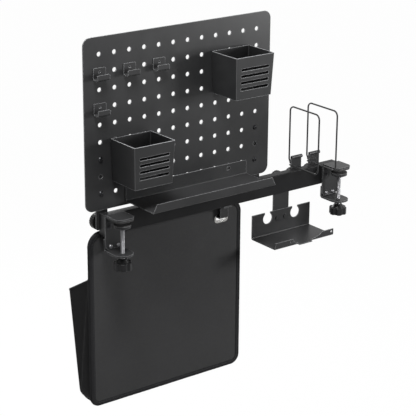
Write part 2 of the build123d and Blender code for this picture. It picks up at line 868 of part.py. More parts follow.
def cable_tray():
    """A bent tray with keyholes in its back and two raised tabs in front."""
    left = tray_place - tray_width / 2
    x_span = (left, left + tray_width)
    half = tray_sheet / 2
    back, front = slide_face - half, -tray_front_reach + half
    lip_top = tray_floor + tray_lip_height
    path = [(back, tray_top), (back, tray_floor + half), (front, tray_floor + half), (front, lip_top)]
    solid = bent_sheet(path, tray_sheet, tray_bend_radius, x_span)
    # the gap between the front tabs, with a curved end on each side
    fold = tray_floor + tray_sheet + tray_bend_radius
    top = lip_top + cut_overrun
    left_top, left_low = [left + share * tray_width for share in tray_left_tab_shares]
    right_low, right_top = [left + share * tray_width for share in tray_right_tab_shares]
    gap = [
        Line((left_top, top), (left_top, lip_top)),
        TangentArc((left_top, lip_top), (left_low, fold), tangent=(0, -1)),
        Line((left_low, fold), (right_low, fold)),
        TangentArc((right_low, fold), (right_top, lip_top), tangent=(1, 0)),
        Line((right_top, lip_top), (right_top, top)),
        Line((right_top, top), (left_top, top)),
    ]
    face = Plane(origin=(0, 0, 0), x_dir=(1, 0, 0), z_dir=(0, -1, 0)) * make_face(gap)
    lip_cut = (front - half - cut_overrun, front + half + tray_bend_radius)
    solid -= Pos(0, lip_cut[0], 0) * extrude(face, lip_cut[1] - lip_cut[0], dir=(0, 1, 0))
    tongue = (front - half - tray_tongue_reach, front + half + tray_bend_radius)
    solid -= block((left_low, right_low), tongue, (tray_floor, top))
    solid += block((left_low, right_low), tongue, (tray_floor, tray_floor + tray_sheet))
    for x in (left_top, x_span[1]):
        hole_x = x - tray_lip_hole_inset
        hole_z = lip_top - tray_lip_hole_inset
        solid -= along_y(hole_x, hole_z, lip_cut, tray_lip_hole_diameter / 2)
    through = (slide_face - tray_sheet - cut_overrun, slide_face + cut_overrun)
    for share in (-0.5, 0.5):
        x = tray_place + share * tray_keyhole_spacing
        z = tray_top - tray_keyhole_drop
        solid -= along_y(x, z, through, tray_keyhole_diameter / 2)
        slot = (x - tray_keyhole_slot / 2, x + tray_keyhole_slot / 2)
        solid -= block(slot, through, (z, tray_top + cut_overrun))
    for x in rivet_places():
        solid -= along_y(x, tray_top - rivet_drop, through, rivet_diameter / 2 + seat_gap)
    return solid


# Bag and its hooks
def bag_slab(inset, y_span):
    """The bag's rounded front outline between two Y, drawn in by an inset."""
    height = bag_top - bag_bottom - 2 * inset
    outline = Rectangle(bag_width - 2 * inset, height)
    outline = fillet(outline.vertices().group_by(Axis.Y)[-1], bag_top_radius - inset)
    outline = fillet(outline.vertices().group_by(Axis.Y)[0], bag_bottom_radius - inset)
    middle = (bag_place, y_span[0], (bag_top + bag_bottom) / 2)
    face = Plane(origin=middle, x_dir=(1, 0, 0), z_dir=(0, -1, 0)) * outline
    return extrude(face, y_span[1] - y_span[0], dir=(0, 1, 0))


def bag_panel():
    """The stiffened front of the bag, with a hole for each grommet."""
    solid = bag_slab(binding_edge, (bag_front, bag_back))
    through = (bag_front - cut_overrun, bag_back + cut_overrun)
    for x in grommet_places.values():
        solid -= grommet_slab(x, grommet_rim - grommet_sheet - seat_gap, through)
    return solid


def bag_binding():
    """The tape folded over the edge of the bag's front."""
    low, high = bag_front - binding_cloth, bag_back + binding_cloth
    solid = bag_slab(0, (low, high))
    inside = bag_slab(binding_width, (low - cut_overrun, high + cut_overrun))
    fold = bag_slab(binding_edge - seat_gap, (bag_front - seat_gap, bag_back + seat_gap))
    return solid - inside - fold


def bag_pocket():
    """The pocket behind the bag's front: gussets, back and bottom, open at the top."""
    front = bag_back + binding_cloth
    bottom = bag_bottom + pocket_bottom_rise
    rear_top = Vector(front + pocket_top_depth, pocket_rear_top)
    rear_low = Vector(front + pocket_bottom_depth, bottom)
    rear = (rear_top - rear_low).normalized()
    outer = FilletPolyline(
        (front, pocket_front_top), rear_top, rear_low, (front, bottom),
        radius=[pocket_cloth, pocket_corner_radius],
    )
    solid = within_bag(pocket_inset, [outer, Line(outer @ 1, outer @ 0)])
    inward = Vector(pocket_cloth / rear.Y, 0)
    inner_top = rear_top - inward + rear * ((pocket_front_top - pocket_rear_top + cut_overrun) / rear.Y)
    inner_low = rear_low - inward + rear * (pocket_cloth / rear.Y)
    ahead = front - cut_overrun
    inner = FilletPolyline(
        (ahead, inner_top.Y), inner_top, inner_low, (ahead, inner_low.Y),
        radius=[pocket_cloth, pocket_corner_radius - pocket_cloth],
    )
    return solid - within_bag(pocket_inset + pocket_cloth, [inner, Line(inner @ 1, inner @ 0)])


def within_bag(inset, outline):
    """A solid with a (Y, Z) outline, kept inside the bag's rounded front outline."""
    half = bag_width / 2 - inset
    keep_in = bag_slab(inset, (bag_back - cut_overrun, bag_back + 2 * pocket_top_depth))
    return side_profile(outline, (bag_place - half, bag_place + half)) & keep_in


def grommet_slab(x, inset, y_span):
    """An eyelet's oblong outline between two Y, drawn in by an inset."""
    half, rise = grommet_width / 2 - inset, grommet_height / 2 - inset
    z_span = (grommet_z - rise, grommet_z + rise)
    return slab((x - half, x + half), z_span, y_span, grommet_corner_radius - inset)


def grommet(x):
    """A metal eyelet: a neck through the bag and a flange on each of its faces."""
    low, high = bag_front - grommet_sheet, bag_back + grommet_sheet
    solid = grommet_slab(x, 0, (low, bag_front)) + grommet_slab(x, 0, (bag_back, high))
    solid += grommet_slab(x, grommet_rim - grommet_sheet, (bag_front, bag_back))
    solid -= grommet_slab(x, grommet_rim, (low - cut_overrun, high + cut_overrun))
    for face in (low, high):
        edges = solid.edges().filter_by_position(Axis.Y, face - seat_gap, face + seat_gap)
        solid = fillet(edges, grommet_edge_radius)
    return solid


def bag_hook(side):
    """A strip screwed under the rail, whose lower end passes through a grommet."""
    x = grommet_places[side]
    half = bag_hook_sheet / 2
    bar_top = grommet_z + grommet_height / 2 - grommet_rim - bag_hook_seat
    foot_front = rail_front + bag_hook_foot_gap
    plate_y = bag_hook_front + half
    tip_y = bag_back + grommet_sheet + bag_hook_tip_gap + half
    path = [
        (foot_front, rail_bottom - half),
        (plate_y, rail_bottom - half),
        (plate_y, bar_top - half),
        (tip_y, bar_top - half),
        (tip_y, bar_top + bag_hook_tip_height),
    ]
    x_span = (x - bag_hook_width / 2, x + bag_hook_width / 2)
    solid = bent_sheet(path, bag_hook_sheet, bag_hook_bend_radius, x_span)
    hole = hook_screw_diameter / 2 + screw_hole_clearance
    through = (rail_bottom - bag_hook_sheet - cut_overrun, rail_bottom + cut_overrun)
    return solid - along_z(x, hook_screw_y, through, hole)


def bag_hook_screw(x):
    """The screw that holds a bag hook under the rail."""
    y = hook_screw_y
    under = rail_bottom - bag_hook_sheet
    head = along_z(x, y, (under - hook_head_height, under), hook_head_diameter / 2)
    low = under - hook_head_height
    head = fillet(head.edges().filter_by_position(Axis.Z, low, low), hook_head_height / 2)
    return head + along_z(x, y, (under, rail_bottom + hook_screw_reach), hook_screw_diameter / 2)


# The whole organizer
def build():
    """Writes every node of the organizer."""
    os.makedirs("parts", exist_ok=True)
    keep("rail", rail())
    for side in ("left", "right"):
        keep(f"rail_end_cap_{side}", rail_end_cap(side))
        keep(f"clamp_upper_{side}", clamp_upper(side))
        keep(f"clamp_lower_{side}", clamp_lower(side))
        keep(f"jaw_pad_{side}", jaw_pad(side))
        keep(f"swivel_pad_{side}", swivel_pad(side))
        keep(f"swivel_facing_{side}", swivel_facing(side))
        keep(f"clamp_screw_{side}", clamp_screw(side))
        keep(f"clamp_knob_{side}", clamp_knob(side))
        keep(f"bag_hook_{side}", bag_hook(side))
    keep("clamp_rail_screws", group([countersunk(x, 0) for x in rail_screw_places()]))
    keep("clamp_joining_screws", group([joining_screw(x) for x in joining_screw_places()]))
    keep("clamp_joining_nuts", group([joining_nut(x) for x in joining_screw_places()]))
    keep("bag_hook_screws", group([bag_hook_screw(x) for x in grommet_places.values()]))

    keep("pegboard_panel", pegboard_panel())
    pegs = [(column, row) for column in strap_columns for row in strap_rows]
    keep("panel_screws", group([panel_screw(*peg) for peg in pegs]))
    keep("panel_nuts", group([panel_nut(*peg) for peg in pegs]))
    straps = [strap_x(column) for column in strap_columns]
    keep("strap_bolts", group([slide_bolt(x, strap_thickness) for x in straps]))
    keep("strap_washers", group([washer(x, strap_thickness) for x in straps]))
    for side, column in zip(("left", "right"), strap_columns):
        keep(f"panel_strap_{side}", panel_strap(column))
        keep(f"strap_knob_{side}", thumb_knob(strap_x(column), strap_thickness))
    for level, column, row in zip(("lower", "upper"), cup_columns, cup_rows):
        keep(f"pen_cup_{level}", pen_cup(column, row))
    for number, place in enumerate(hook_places, 1):
        keep(f"small_hook_{number}", small_hook(*place))
    keep("shelf", shelf())

    for number, x in enumerate(divider_places, 1):
        keep(f"divider_bracket_{number}", divider_bracket(x))
        keep(f"divider_wire_{number}", divider_wire(x))
        keep(f"divider_bolt_{number}", slide_bolt(x, divider_sheet))
        keep(f"divider_washer_{number}", washer(x, divider_sheet))
        keep(f"divider_knob_{number}", thumb_knob(x, divider_sheet))

    keep("tray_hanger", tray_hanger())
    keep("cable_tray", cable_tray())
    keep("tray_rivets", group([tray_rivet(x) for x in rivet_places()]))
    keep("tray_bolt", slide_bolt(tray_place, hanger_sheet))
    keep("tray_washer", washer(tray_place, hanger_sheet))
    keep("tray_knob", thumb_knob(tray_place, hanger_sheet))

    keep("bag_panel", bag_panel())
    keep("bag_binding", bag_binding())
    keep("bag_pocket", bag_pocket())
    keep("bag_grommets", group([grommet(x) for x in grommet_places.values()]))


build()
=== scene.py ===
import math

import bmesh
import bpy
from mathutils import Matrix, Vector, kdtree, noise


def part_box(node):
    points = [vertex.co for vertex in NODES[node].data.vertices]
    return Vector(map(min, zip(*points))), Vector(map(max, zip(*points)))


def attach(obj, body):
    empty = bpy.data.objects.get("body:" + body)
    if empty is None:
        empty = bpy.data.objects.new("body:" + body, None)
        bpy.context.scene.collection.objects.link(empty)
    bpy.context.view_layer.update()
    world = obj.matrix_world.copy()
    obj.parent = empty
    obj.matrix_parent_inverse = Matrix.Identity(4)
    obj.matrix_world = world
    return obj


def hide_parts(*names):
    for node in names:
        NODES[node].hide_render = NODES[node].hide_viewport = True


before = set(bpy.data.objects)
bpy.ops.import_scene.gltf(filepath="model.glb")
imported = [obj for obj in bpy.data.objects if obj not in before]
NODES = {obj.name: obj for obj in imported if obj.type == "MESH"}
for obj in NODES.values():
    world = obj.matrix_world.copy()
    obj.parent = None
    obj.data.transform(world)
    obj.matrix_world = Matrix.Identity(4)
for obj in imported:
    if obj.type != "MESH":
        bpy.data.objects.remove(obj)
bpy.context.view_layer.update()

bl_info = {
    "name": "Clamp-on desk organizer",
    "version": (1, 0, 0),
    "blender": (4, 5, 0),
    "location": "View3D > Sidebar > Organizer",
    "description": "Dresses the organizer's solids with coats, threads, screws, pads and a sewn bag",
    "category": "Object",
}

SIDES = ("left", "right")
TURN = 2 * math.pi


# Settings

def colour_setting(name, description, default):
    """A colour that a user can change."""
    return bpy.props.FloatVectorProperty(
        name=name, description=description, default=default, size=3, subtype="COLOR", min=0, max=1
    )


def length_setting(name, description, default):
    """A length that a user can change."""
    return bpy.props.FloatProperty(
        name=name, description=description, default=default, min=0, precision=5, unit="LENGTH"
    )


def share_setting(name, description, default, high=1.0):
    """A share or a strength that a user can change."""
    return bpy.props.FloatProperty(name=name, description=description, default=default, min=0, max=high)


class FinishSettings(bpy.types.PropertyGroup):
    """Colours and grains of the finishes"""

    coat: colour_setting("Powder coat", "Colour of the coated sheet metal", (0.021, 0.0212, 0.0218))
    coat_grain: length_setting("Coat grain", "Size of the coat's fine texture", 0.0007)
    coat_roughness: share_setting("Coat roughness", "Roughness of the satin coat", 0.36)
    # the rail's colour is about half the sheet's coat, so it renders darker, with less shine
    rail_coat: colour_setting(
        "Rail coat", "Colour of the smooth coat on the rail", (0.0108, 0.0108, 0.0113)
    )
    wire_coat: colour_setting("Wire coat", "Colour of the coated divider wires", (0.015, 0.015, 0.0155))
    black_oxide: colour_setting("Black oxide", "Colour of the dark screws and nuts", (0.03, 0.03, 0.032))
    zinc: colour_setting("Zinc", "Colour of the bright plated screws", (0.23, 0.23, 0.238))
    nickel: colour_setting("Nickel", "Colour of the grommets", (0.36, 0.355, 0.345))
    plastic: colour_setting("Knob plastic", "Colour of the knobs and end caps", (0.013, 0.013, 0.0136))
    rubber: colour_setting("Pad rubber", "Colour of the jaw pads", (0.0336, 0.0336, 0.0336))
    cloth: colour_setting("Bag cloth", "Colour of the bag's weave", (0.0372, 0.0372, 0.0379))
    # the binding tape is darker than the bag cloth; in part its own tone, in part painted shade along the
    # bag's edge
    tape: colour_setting("Binding tape", "Colour of the bag's binding", (0.017, 0.017, 0.018))
    thread: colour_setting("Sewing thread", "Colour of the stitches", (0.048, 0.048, 0.0504))
    # painted shade: the pocket is the bag's own cloth, painted darker to stand in for the shade it hangs in
    shaded_pocket_cloth: colour_setting("Pocket cloth", "Colour of the pocket's weave", (0.0115, 0.0115, 0.012))
    yarn: length_setting("Yarn pitch", "Distance between the yarns of the weave", 0.00085)


class FastenerSettings(bpy.types.PropertyGroup):
    """Sizes of the threads and screws"""

    pitch: length_setting("Thread pitch", "Rise of the clamp screw in one turn", 0.001)
    thread_depth: length_setting("Thread depth", "Depth of the clamp screw's thread", 0.00042)
    spigot: length_setting("Spigot radius", "Radius of the screw's plain tip", 0.0025)
    spigot_height: length_setting("Spigot height", "Height of the screw's plain tip", 0.0057)
    joining_head: length_setting("Joining head", "Height of the heads that join the clamps", 0.0020)
    joining_shank: length_setting("Joining shank", "Radius of the screws that join the clamps", 0.0020)
    rail_cone: length_setting("Rail screw cone", "Depth of the flat heads in the clamps", 0.0022)
    rail_rise: length_setting("Rail screw rise", "How far the flat heads bulge", 0.0001)
    rail_shank: length_setting("Rail screw shank", "Radius of the screws into the rail", 0.0025)
    panel_head: length_setting("Panel head", "Height of the pegboard's screw heads", 0.0022)
    panel_shank: length_setting("Panel shank", "Radius of the pegboard's screws", 0.002)
    hook_head: length_setting("Hook head", "Height of the bag hooks' screw heads", 0.0018)
    hook_shank: length_setting("Hook shank", "Radius of the bag hooks' screws", 0.00175)
    recess_width: length_setting("Recess width", "Width of a slot of the cross recess", 0.0011)
    recess_depth: length_setting("Recess depth", "Depth of the cross recess", 0.0012)


class BagSettings(bpy.types.PropertyGroup):
    """Sizes of the sewn bag"""

    top_corner: length_setting("Top corner radius", "Radius of the bag's upper corners", 0.022)
    bottom_corner: length_setting("Bottom corner radius", "Radius of the bag's lower corners", 0.016)
    binding_width: length_setting("Binding width", "Width of the tape on each face", 0.008)
    binding_half: length_setting("Binding half thickness", "Half the thickness over the tape", 0.0028)
    crown: length_setting("Crown", "How far the front swells in its middle", 0.0007)
    ripple: length_setting("Ripple", "Height of the front cloth's soft waves", 0.00055)
    voxel: length_setting("Front mesh size", "Size of the faces of the padded front", 0.002)
    mouth_drop: length_setting("Mouth drop", "How much lower the pocket's mouth is at its back", 0.033)
    bottom_depth: length_setting("Bottom depth", "Depth of the pocket at its bottom", 0.0336)
    fold: length_setting("Fold radius", "Radius of the fold along the pocket's bottom", 0.006)
    gusset_fold: length_setting("Gusset fold", "Radius of the folds between gussets and back", 0.004)
    cloth_thickness: length_setting("Cloth thickness", "Thickness of the pocket's cloth", 0.0016)
    belly: length_setting("Belly", "How far the pocket's back swells", 0.0022)
    slack: length_setting("Slack", "How far the mouth's back edge dips", 0.0035)
    hem: length_setting("Hem", "Height of the piping round the mouth", 0.0026)
    stitch_pitch: length_setting("Stitch pitch", "Distance from stitch to stitch", 0.0042)
    stitch_length: length_setting("Stitch length", "Length of one stitch", 0.0030)
    stitch_radius: length_setting("Stitch radius", "Radius of the thread", 0.00028)


class StageSettings(bpy.types.PropertyGroup):
    """The studio about the organizer"""

    floor: colour_setting("Floor", "Colour of the pale floor", (0.9, 0.9, 0.9))
    floor_height: bpy.props.FloatProperty(
        name="Floor height", description="Height of the floor under the table's top",
        default=-0.72, unit="LENGTH",
    )
    room_light: share_setting("Room light", "Strength of the even light from all round", 0.105, high=4)
    key_power: share_setting("Key lamp", "Power of the lamp at the front right", 10.4, high=500)
    top_power: share_setting("Top lamp", "Power of the lamp above at the left", 16.7, high=500)
    back_power: share_setting("Back lamp", "Power of the lamp behind", 25, high=500)
    lens: share_setting("Lens", "Focal length of the camera in millimetres", 133.93, high=500)


class OrganizerSettings(bpy.types.PropertyGroup):
    """All settings of the organizer's looks"""

    finish: bpy.props.PointerProperty(type=FinishSettings)
    fastener: bpy.props.PointerProperty(type=FastenerSettings)
    bag: bpy.props.PointerProperty(type=BagSettings)
    stage: bpy.props.PointerProperty(type=StageSettings)


def settings():
    """The scene's settings."""
    return bpy.context.scene.organizer


# Node trees

class Value:
    """A number in a node tree; arithmetic on it adds Math nodes"""

    def __init__(self, tree, socket):
        self.tree, self.socket = tree, socket

    def maths(self, operation, *others, first=None):
        node = self.tree.nodes.new("ShaderNodeMath")
        node.operation = operation
        for socket, value in zip(node.inputs, [self if first is None else first, *others]):
            connect(self.tree, socket, value)
        return Value(self.tree, node.outputs[0])

    def __add__(self, other):
        return self.maths("ADD", other)

    def __sub__(self, other):
        return self.maths("SUBTRACT", other)

    def __rsub__(self, other):
        return self.maths("SUBTRACT", self, first=other)

    def __mul__(self, other):
        return self.maths("MULTIPLY", other)

    def __truediv__(self, other):
        return self.maths("DIVIDE", other)

    def __pow__(self, other):
        return self.maths("POWER", other)

    def __abs__(self):
        return self.maths("ABSOLUTE")

    def __gt__(self, other):
        return self.maths("GREATER_THAN", other)

    def __lt__(self, other):
        return self.maths("LESS_THAN", other)

    __radd__ = __add__
    __rmul__ = __mul__

    def sine(self):
        return self.maths("SINE")

    def cosine(self):
        return self.maths("COSINE")

    def fraction(self):
        return self.maths("FRACT")

    def smaller(self, other):
        return self.maths("MINIMUM", other)

    def clamped(self):
        return self.maths("MINIMUM", 1).maths("MAXIMUM", 0)

    def between(self, low, high):
        """How far the number has come from a low one to a high one, from 0 to 1."""
        return ((self - low) / (high - low)).clamped()


def connect(tree, socket, value):
    """Links a socket, or sets the value that it has by itself."""
    if isinstance(value, Value):
        tree.links.new(value.socket, socket)
    elif isinstance(value, bpy.types.NodeSocket):
        tree.links.new(value, socket)
    else:
        socket.default_value = value


class Tree:
    """Adds nodes to one node tree"""

    def __init__(self, tree):
        self.tree = tree

    def node(self, kind, options=None, sockets=None):
        """One node of any kind, with its options set first and then its sockets."""
        node = self.tree.nodes.new(kind)
        for name, value in (options or {}).items():
            setattr(node, name, value)
        for key, value in (sockets or {}).items():
            connect(self.tree, node.inputs[key], value)
        return node

    def value(self, kind, options=None, sockets=None, output=0):
        """The number that a new node gives."""
        return Value(self.tree, self.node(kind, options, sockets).outputs[output])


# Finishes

class Finish(Tree):
    """A material that is built from nodes on a Principled shader"""

    def __init__(self, name):
        self.material = bpy.data.materials.new(name)
        self.material.use_nodes = True
        super().__init__(self.material.node_tree)
        self.tree.nodes.clear()
        self.shader = self.node("ShaderNodeBsdfPrincipled")
        output = self.node("ShaderNodeOutputMaterial")
        self.tree.links.new(self.shader.outputs[0], output.inputs["Surface"])
        self.place = self.node("ShaderNodeTexCoord").outputs["Object"]

    def noise(self, size, detail=2.0, roughness=0.5):
        """Soft noise whose spots have a size in metres."""
        sockets = {"Vector": self.place, "Scale": 1 / size, "Detail": detail, "Roughness": roughness}
        return self.value("ShaderNodeTexNoise", None, sockets, "Fac")

    def axes(self, place=None):
        """The three coordinates of a place."""
        split = self.node("ShaderNodeSeparateXYZ", None, {0: place or self.place})
        return [Value(self.tree, socket) for socket in split.outputs]

    def colours(self, low, high, factor, under=None):
        """A colour between two, the lower of which another node can give."""
        node = self.node("ShaderNodeMix", {"data_type": "RGBA"})
        connect(self.tree, node.inputs[0], factor)
        connect(self.tree, node.inputs[6], under or (*low, 1))
        node.inputs[7].default_value = (*high, 1)
        return node.outputs[2]

    def edges(self, radius, gain):
        """How near a place is to an outer edge, from 0 to 1."""
        eased = self.node("ShaderNodeBevel", {"samples": 6}, {"Radius": radius}).outputs[0]
        plain = self.node("ShaderNodeNewGeometry").outputs["Normal"]
        alike = self.node("ShaderNodeVectorMath", {"operation": "DOT_PRODUCT"}, {0: eased, 1: plain})
        return ((1 - Value(self.tree, alike.outputs["Value"])) * gain).clamped()

    def air(self, reach):
        """How open a place is to the air within a reach, from 0 to 1."""
        return self.value("ShaderNodeAmbientOcclusion", {"samples": 6}, {"Distance": reach}, "AO")

    def rims(self, air):
        """How far a place is on a box's open rim, or less so on its upright bends, from 0 to 1."""
        x, y, z = self.axes(self.node("ShaderNodeNewGeometry").outputs["Normal"])
        bend_share = 0.15
        bend = abs(x).smaller(abs(y)).between(0.3, 0.7) * bend_share
        return (bend + (z > 0.7)) * air.between(0.55, 0.8833)

    def finish(self, colour, roughness, height=None, depth=0.0, strength=1.0, **constants):
        """Feeds the shader and gives the finished material."""
        connect(self.tree, self.shader.inputs["Base Color"], colour)
        connect(self.tree, self.shader.inputs["Roughness"], roughness)
        if height is not None:
            sockets = {"Height": height, "Distance": depth, "Strength": strength}
            bump = self.node("ShaderNodeBump", None, sockets)
            connect(self.tree, self.shader.inputs["Normal"], bump.outputs["Normal"])
        for name, value in constants.items():
            self.shader.inputs[name.replace("_", " ")].default_value = value
        return self.material


def shaded(colour, share):
    """A colour made darker or lighter."""
    return tuple(min(1.0, channel * share) for channel in colour)


def coat_finish(name, colour, roughness, grain, pale=16, hollow=0.0, shine=0.15):
    """Satin powder coat: fine grain, uneven gloss, and a painted highlight that makes edges paler by a
    given factor.

    A box is given the width of its hollow, for a painted highlight on its rim and upright bends and painted
    shade inside.
    """
    look = Finish(name)
    peel = look.noise(grain, detail=3, roughness=0.6)
    cloud = look.noise(size=0.035, detail=3)
    blotches = look.noise(size=0.006, detail=4, roughness=0.7)
    # painted highlight: outer edges are painted paler, varied by random blotches, standing in for light
    # caught along them
    painted_highlight = look.edges(radius=0.0011, gain=2.6) * (0.75 + blotches * 0.5)
    if hollow:
        air = look.air(hollow)
        # painted highlight: a box's open rim, and less so its upright bends, are painted paler where open
        # to the air
        painted_highlight = painted_highlight + look.rims(air)
    plain = look.colours(shaded(colour, 0.8), shaded(colour, 1.35), cloud)
    mixed = look.colours(colour, shaded(colour, pale), painted_highlight.clamped(), plain)
    # painted shade: a box's inside is painted darker where it is closed in
    if hollow:
        mixed = look.colours(colour, shaded(colour, 0.1), 1 - air.between(0.2, 0.6), mixed)
    gloss = roughness - 0.05 + cloud * 0.07 + blotches * 0.05
    return look.finish(mixed, gloss, peel, depth=0.00004, strength=0.55, Specular_IOR_Level=shine)


def metal_finish(name, colour, roughness):
    """Plated metal with a faint haze and tiny scratches."""
    look = Finish(name)
    haze = look.noise(size=0.004, detail=3)
    scratch = look.noise(size=0.0005)
    colour = look.colours(shaded(colour, 0.86), colour, haze)
    gloss = roughness + haze * 0.12
    return look.finish(colour, gloss, scratch, depth=0.00001, strength=0.3, Metallic=1.0)


def plastic_finish(name, colour):
    """Moulded plastic with a spark-eroded grain."""
    look = Finish(name)
    grain = look.noise(size=0.00045)
    cloud = look.noise(size=0.01)
    colour = look.colours(shaded(colour, 0.85), shaded(colour, 1.25), cloud)
    gloss = 0.28 + cloud * 0.1
    return look.finish(colour, gloss, grain, depth=0.00005, strength=0.35, Specular_IOR_Level=0.14)


def rubber_finish(name, colour):
    """Matt foam rubber with open pores."""
    look = Finish(name)
    pores = look.noise(size=0.0006, detail=4, roughness=0.7)
    cloud = look.noise(size=0.008)
    colour = look.colours(shaded(colour, 0.7), shaded(colour, 1.3), pores)
    gloss = 0.78 + cloud * 0.12
    return look.finish(colour, gloss, pores, depth=0.00008, strength=0.6, Specular_IOR_Level=0.25)


def cloth_finish(name, colour, yarn, follows_surface=False, twill=False):
    """Plain weave, or a ribbed tape, of fine yarns over and under each other."""
    look = Finish(name)
    place = look.node("ShaderNodeTexCoord").outputs["UV"] if follows_surface else look.place
    across, second, third = look.axes(place)
    along = second if follows_surface else third
    across, along = across * (math.pi / yarn), along * (math.pi / yarn)
    if twill:
        height = abs((across + along).sine())
    else:
        warp, weft = across.sine(), along.sine()
        over = (warp * weft) > 0
        height = abs(warp) * over + abs(weft) * (1 - over)
    slub = look.noise(size=0.0035, detail=3)
    cloud = look.noise(size=0.06, detail=3)
    # painted shade in part: the colour is darker where the weave's height is low, between the yarns, mixed
    # with random slub and cloud tone
    tone = (height * 0.45 + slub * 0.3 + cloud * 0.25).clamped()
    colour = look.colours(shaded(colour, 0.62), shaded(colour, 1.5), tone)
    gloss = 0.72 + slub * 0.14
    return look.finish(
        colour, gloss, height + slub * 0.6, depth=0.00012, strength=0.6,
        Specular_IOR_Level=0.05, Sheen_Weight=0.005, Sheen_Roughness=0.45,
    )


FINISHES = {}


def finish(name):
    """A named finish, made the first time that it is asked for."""
    look = settings().finish

    def coat(label, colour=look.coat, roughness=look.coat_roughness, **how):
        return coat_finish(label, colour, roughness, look.coat_grain, **how)

    makers = {
        "PowderCoat": coat,
        # cups: a stronger painted highlight on edges, rims and bends, and painted shade inside; rivets:
        # pale=1, so no painted highlight
        "CupCoat": lambda n: coat(n, pale=18, hollow=0.08),
        "RivetCoat": lambda n: coat(n, pale=1),
        "RailCoat": lambda n: coat(n, look.rail_coat, shine=0.06),
        "WireCoat": lambda n: coat(n, look.wire_coat, roughness=0.3),
        "BlackOxide": lambda n: metal_finish(n, look.black_oxide, roughness=0.30),
        "BrightZinc": lambda n: metal_finish(n, look.zinc, roughness=0.36),
        "Nickel": lambda n: metal_finish(n, look.nickel, roughness=0.20),
        "KnobPlastic": lambda n: plastic_finish(n, look.plastic),
        "PadRubber": lambda n: rubber_finish(n, look.rubber),
        "BagWeave": lambda n: cloth_finish(n, look.cloth, look.yarn),
        "PocketWeave": lambda n: cloth_finish(n, look.shaded_pocket_cloth, look.yarn, follows_surface=True),
        "BindingTape": lambda n: cloth_finish(n, look.tape, look.yarn, follows_surface=True, twill=True),
        "SewingThread": lambda n: cloth_finish(n, look.thread, look.yarn / 3, twill=True),
    }
    if name not in FINISHES:
        FINISHES[name] = makers[name](name)
    return FINISHES[name]


def dress(nodes, name):
    """Gives solids that stay as they are a finish."""
    for node in nodes:
        materials = NODES[node].data.materials
        materials.clear()
        materials.append(finish(name))


# Meshes

def piece(name, mesh, body, replaced, slot, look=None):
    """A finished piece of the organizer that rides on a body."""
    thing = bpy.data.objects.new(name, mesh)
    bpy.context.scene.collection.objects.link(thing)
    if look:
        mesh.materials.clear()
        mesh.materials.append(finish(look))
    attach(thing, body)
    if replaced:
        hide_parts(*replaced)
    return thing


def smooth_shaded(mesh, angle=40):
    """Shades a mesh smoothly, but for its sharp edges."""
    mesh.polygons.foreach_set("use_smooth", [True] * len(mesh.polygons))
    mesh.set_sharp_from_angle(angle=math.radians(angle))
    return mesh


def from_bmesh(work, name, merge=0.0, recalculate=True):
    """A mesh out of a bmesh, with its faces pointing outwards."""
    if merge:
        bmesh.ops.remove_doubles(work, verts=work.verts[:], dist=merge)
        bmesh.ops.dissolve_degenerate(work, edges=work.edges[:], dist=merge / 10)
    if recalculate:
        bmesh.ops.recalc_face_normals(work, faces=work.faces[:])
    mesh = bpy.data.meshes.new(name)
    work.to_mesh(mesh)
    work.free()
    return mesh


def evaluated(mesh, name, modify):
    """The mesh after the modifiers that a function adds to a passing object."""
    thing = bpy.data.objects.new(name, mesh)
    bpy.context.scene.collection.objects.link(thing)
    modify(thing)
    graph = bpy.context.evaluated_depsgraph_get()
    graph.update()
    result = bpy.data.meshes.new_from_object(thing.evaluated_get(graph))
    bpy.data.objects.remove(thing)
    result.name = name
    return result


def grown(name, tree, mesh, inputs):
    """The plain mesh that a tree of Geometry Nodes makes from named inputs."""
    def modify(thing):
        modifier = thing.modifiers.new(name, "NODES")
        modifier.node_group = tree
        for item in tree.interface.items_tree:
            if item.item_type == "SOCKET" and item.in_out == "INPUT" and item.name in inputs:
                modifier[item.identifier] = inputs[item.name]
    return evaluated(mesh, name, modify)


def solid_boxes(node):
    """The low and high corners of each separate solid of a node, from left to right."""
    work = bmesh.new()
    work.from_mesh(NODES[node].data)
    bmesh.ops.remove_doubles(work, verts=work.verts[:], dist=1e-7)
    left, boxes = set(work.verts), []
    while left:
        island, reach = set(), [left.pop()]
        while reach:
            vertex = reach.pop()
            island.add(vertex)
            near = {edge.other_vert(vertex) for edge in vertex.link_edges} & left
            left -= near
            reach.extend(near)
        places = [v.co for v in island]
        low = Vector(min(p[k] for p in places) for k in range(3))
        high = Vector(max(p[k] for p in places) for k in range(3))
        boxes.append((low, high))
    work.free()
    return sorted(boxes, key=lambda corners: tuple(corners[0]))


def point_mesh(name, points, chain=False, closed=False):
    """A mesh of loose points, or of a chain of edges through them."""
    count = len(points)
    edges = [(i, (i + 1) % count) for i in range(count if closed else count - 1)] if chain else []
    mesh = bpy.data.meshes.new(name)
    mesh.from_pydata(points, edges, [])
    return mesh


# Geometry Nodes

SEAM_GAP = 2e-6
END_SHARE = 1e-5
THREAD_ROUNDS = 25
THREAD_ROWS_PER_TURN = 6
SCREW_POINTS = 73


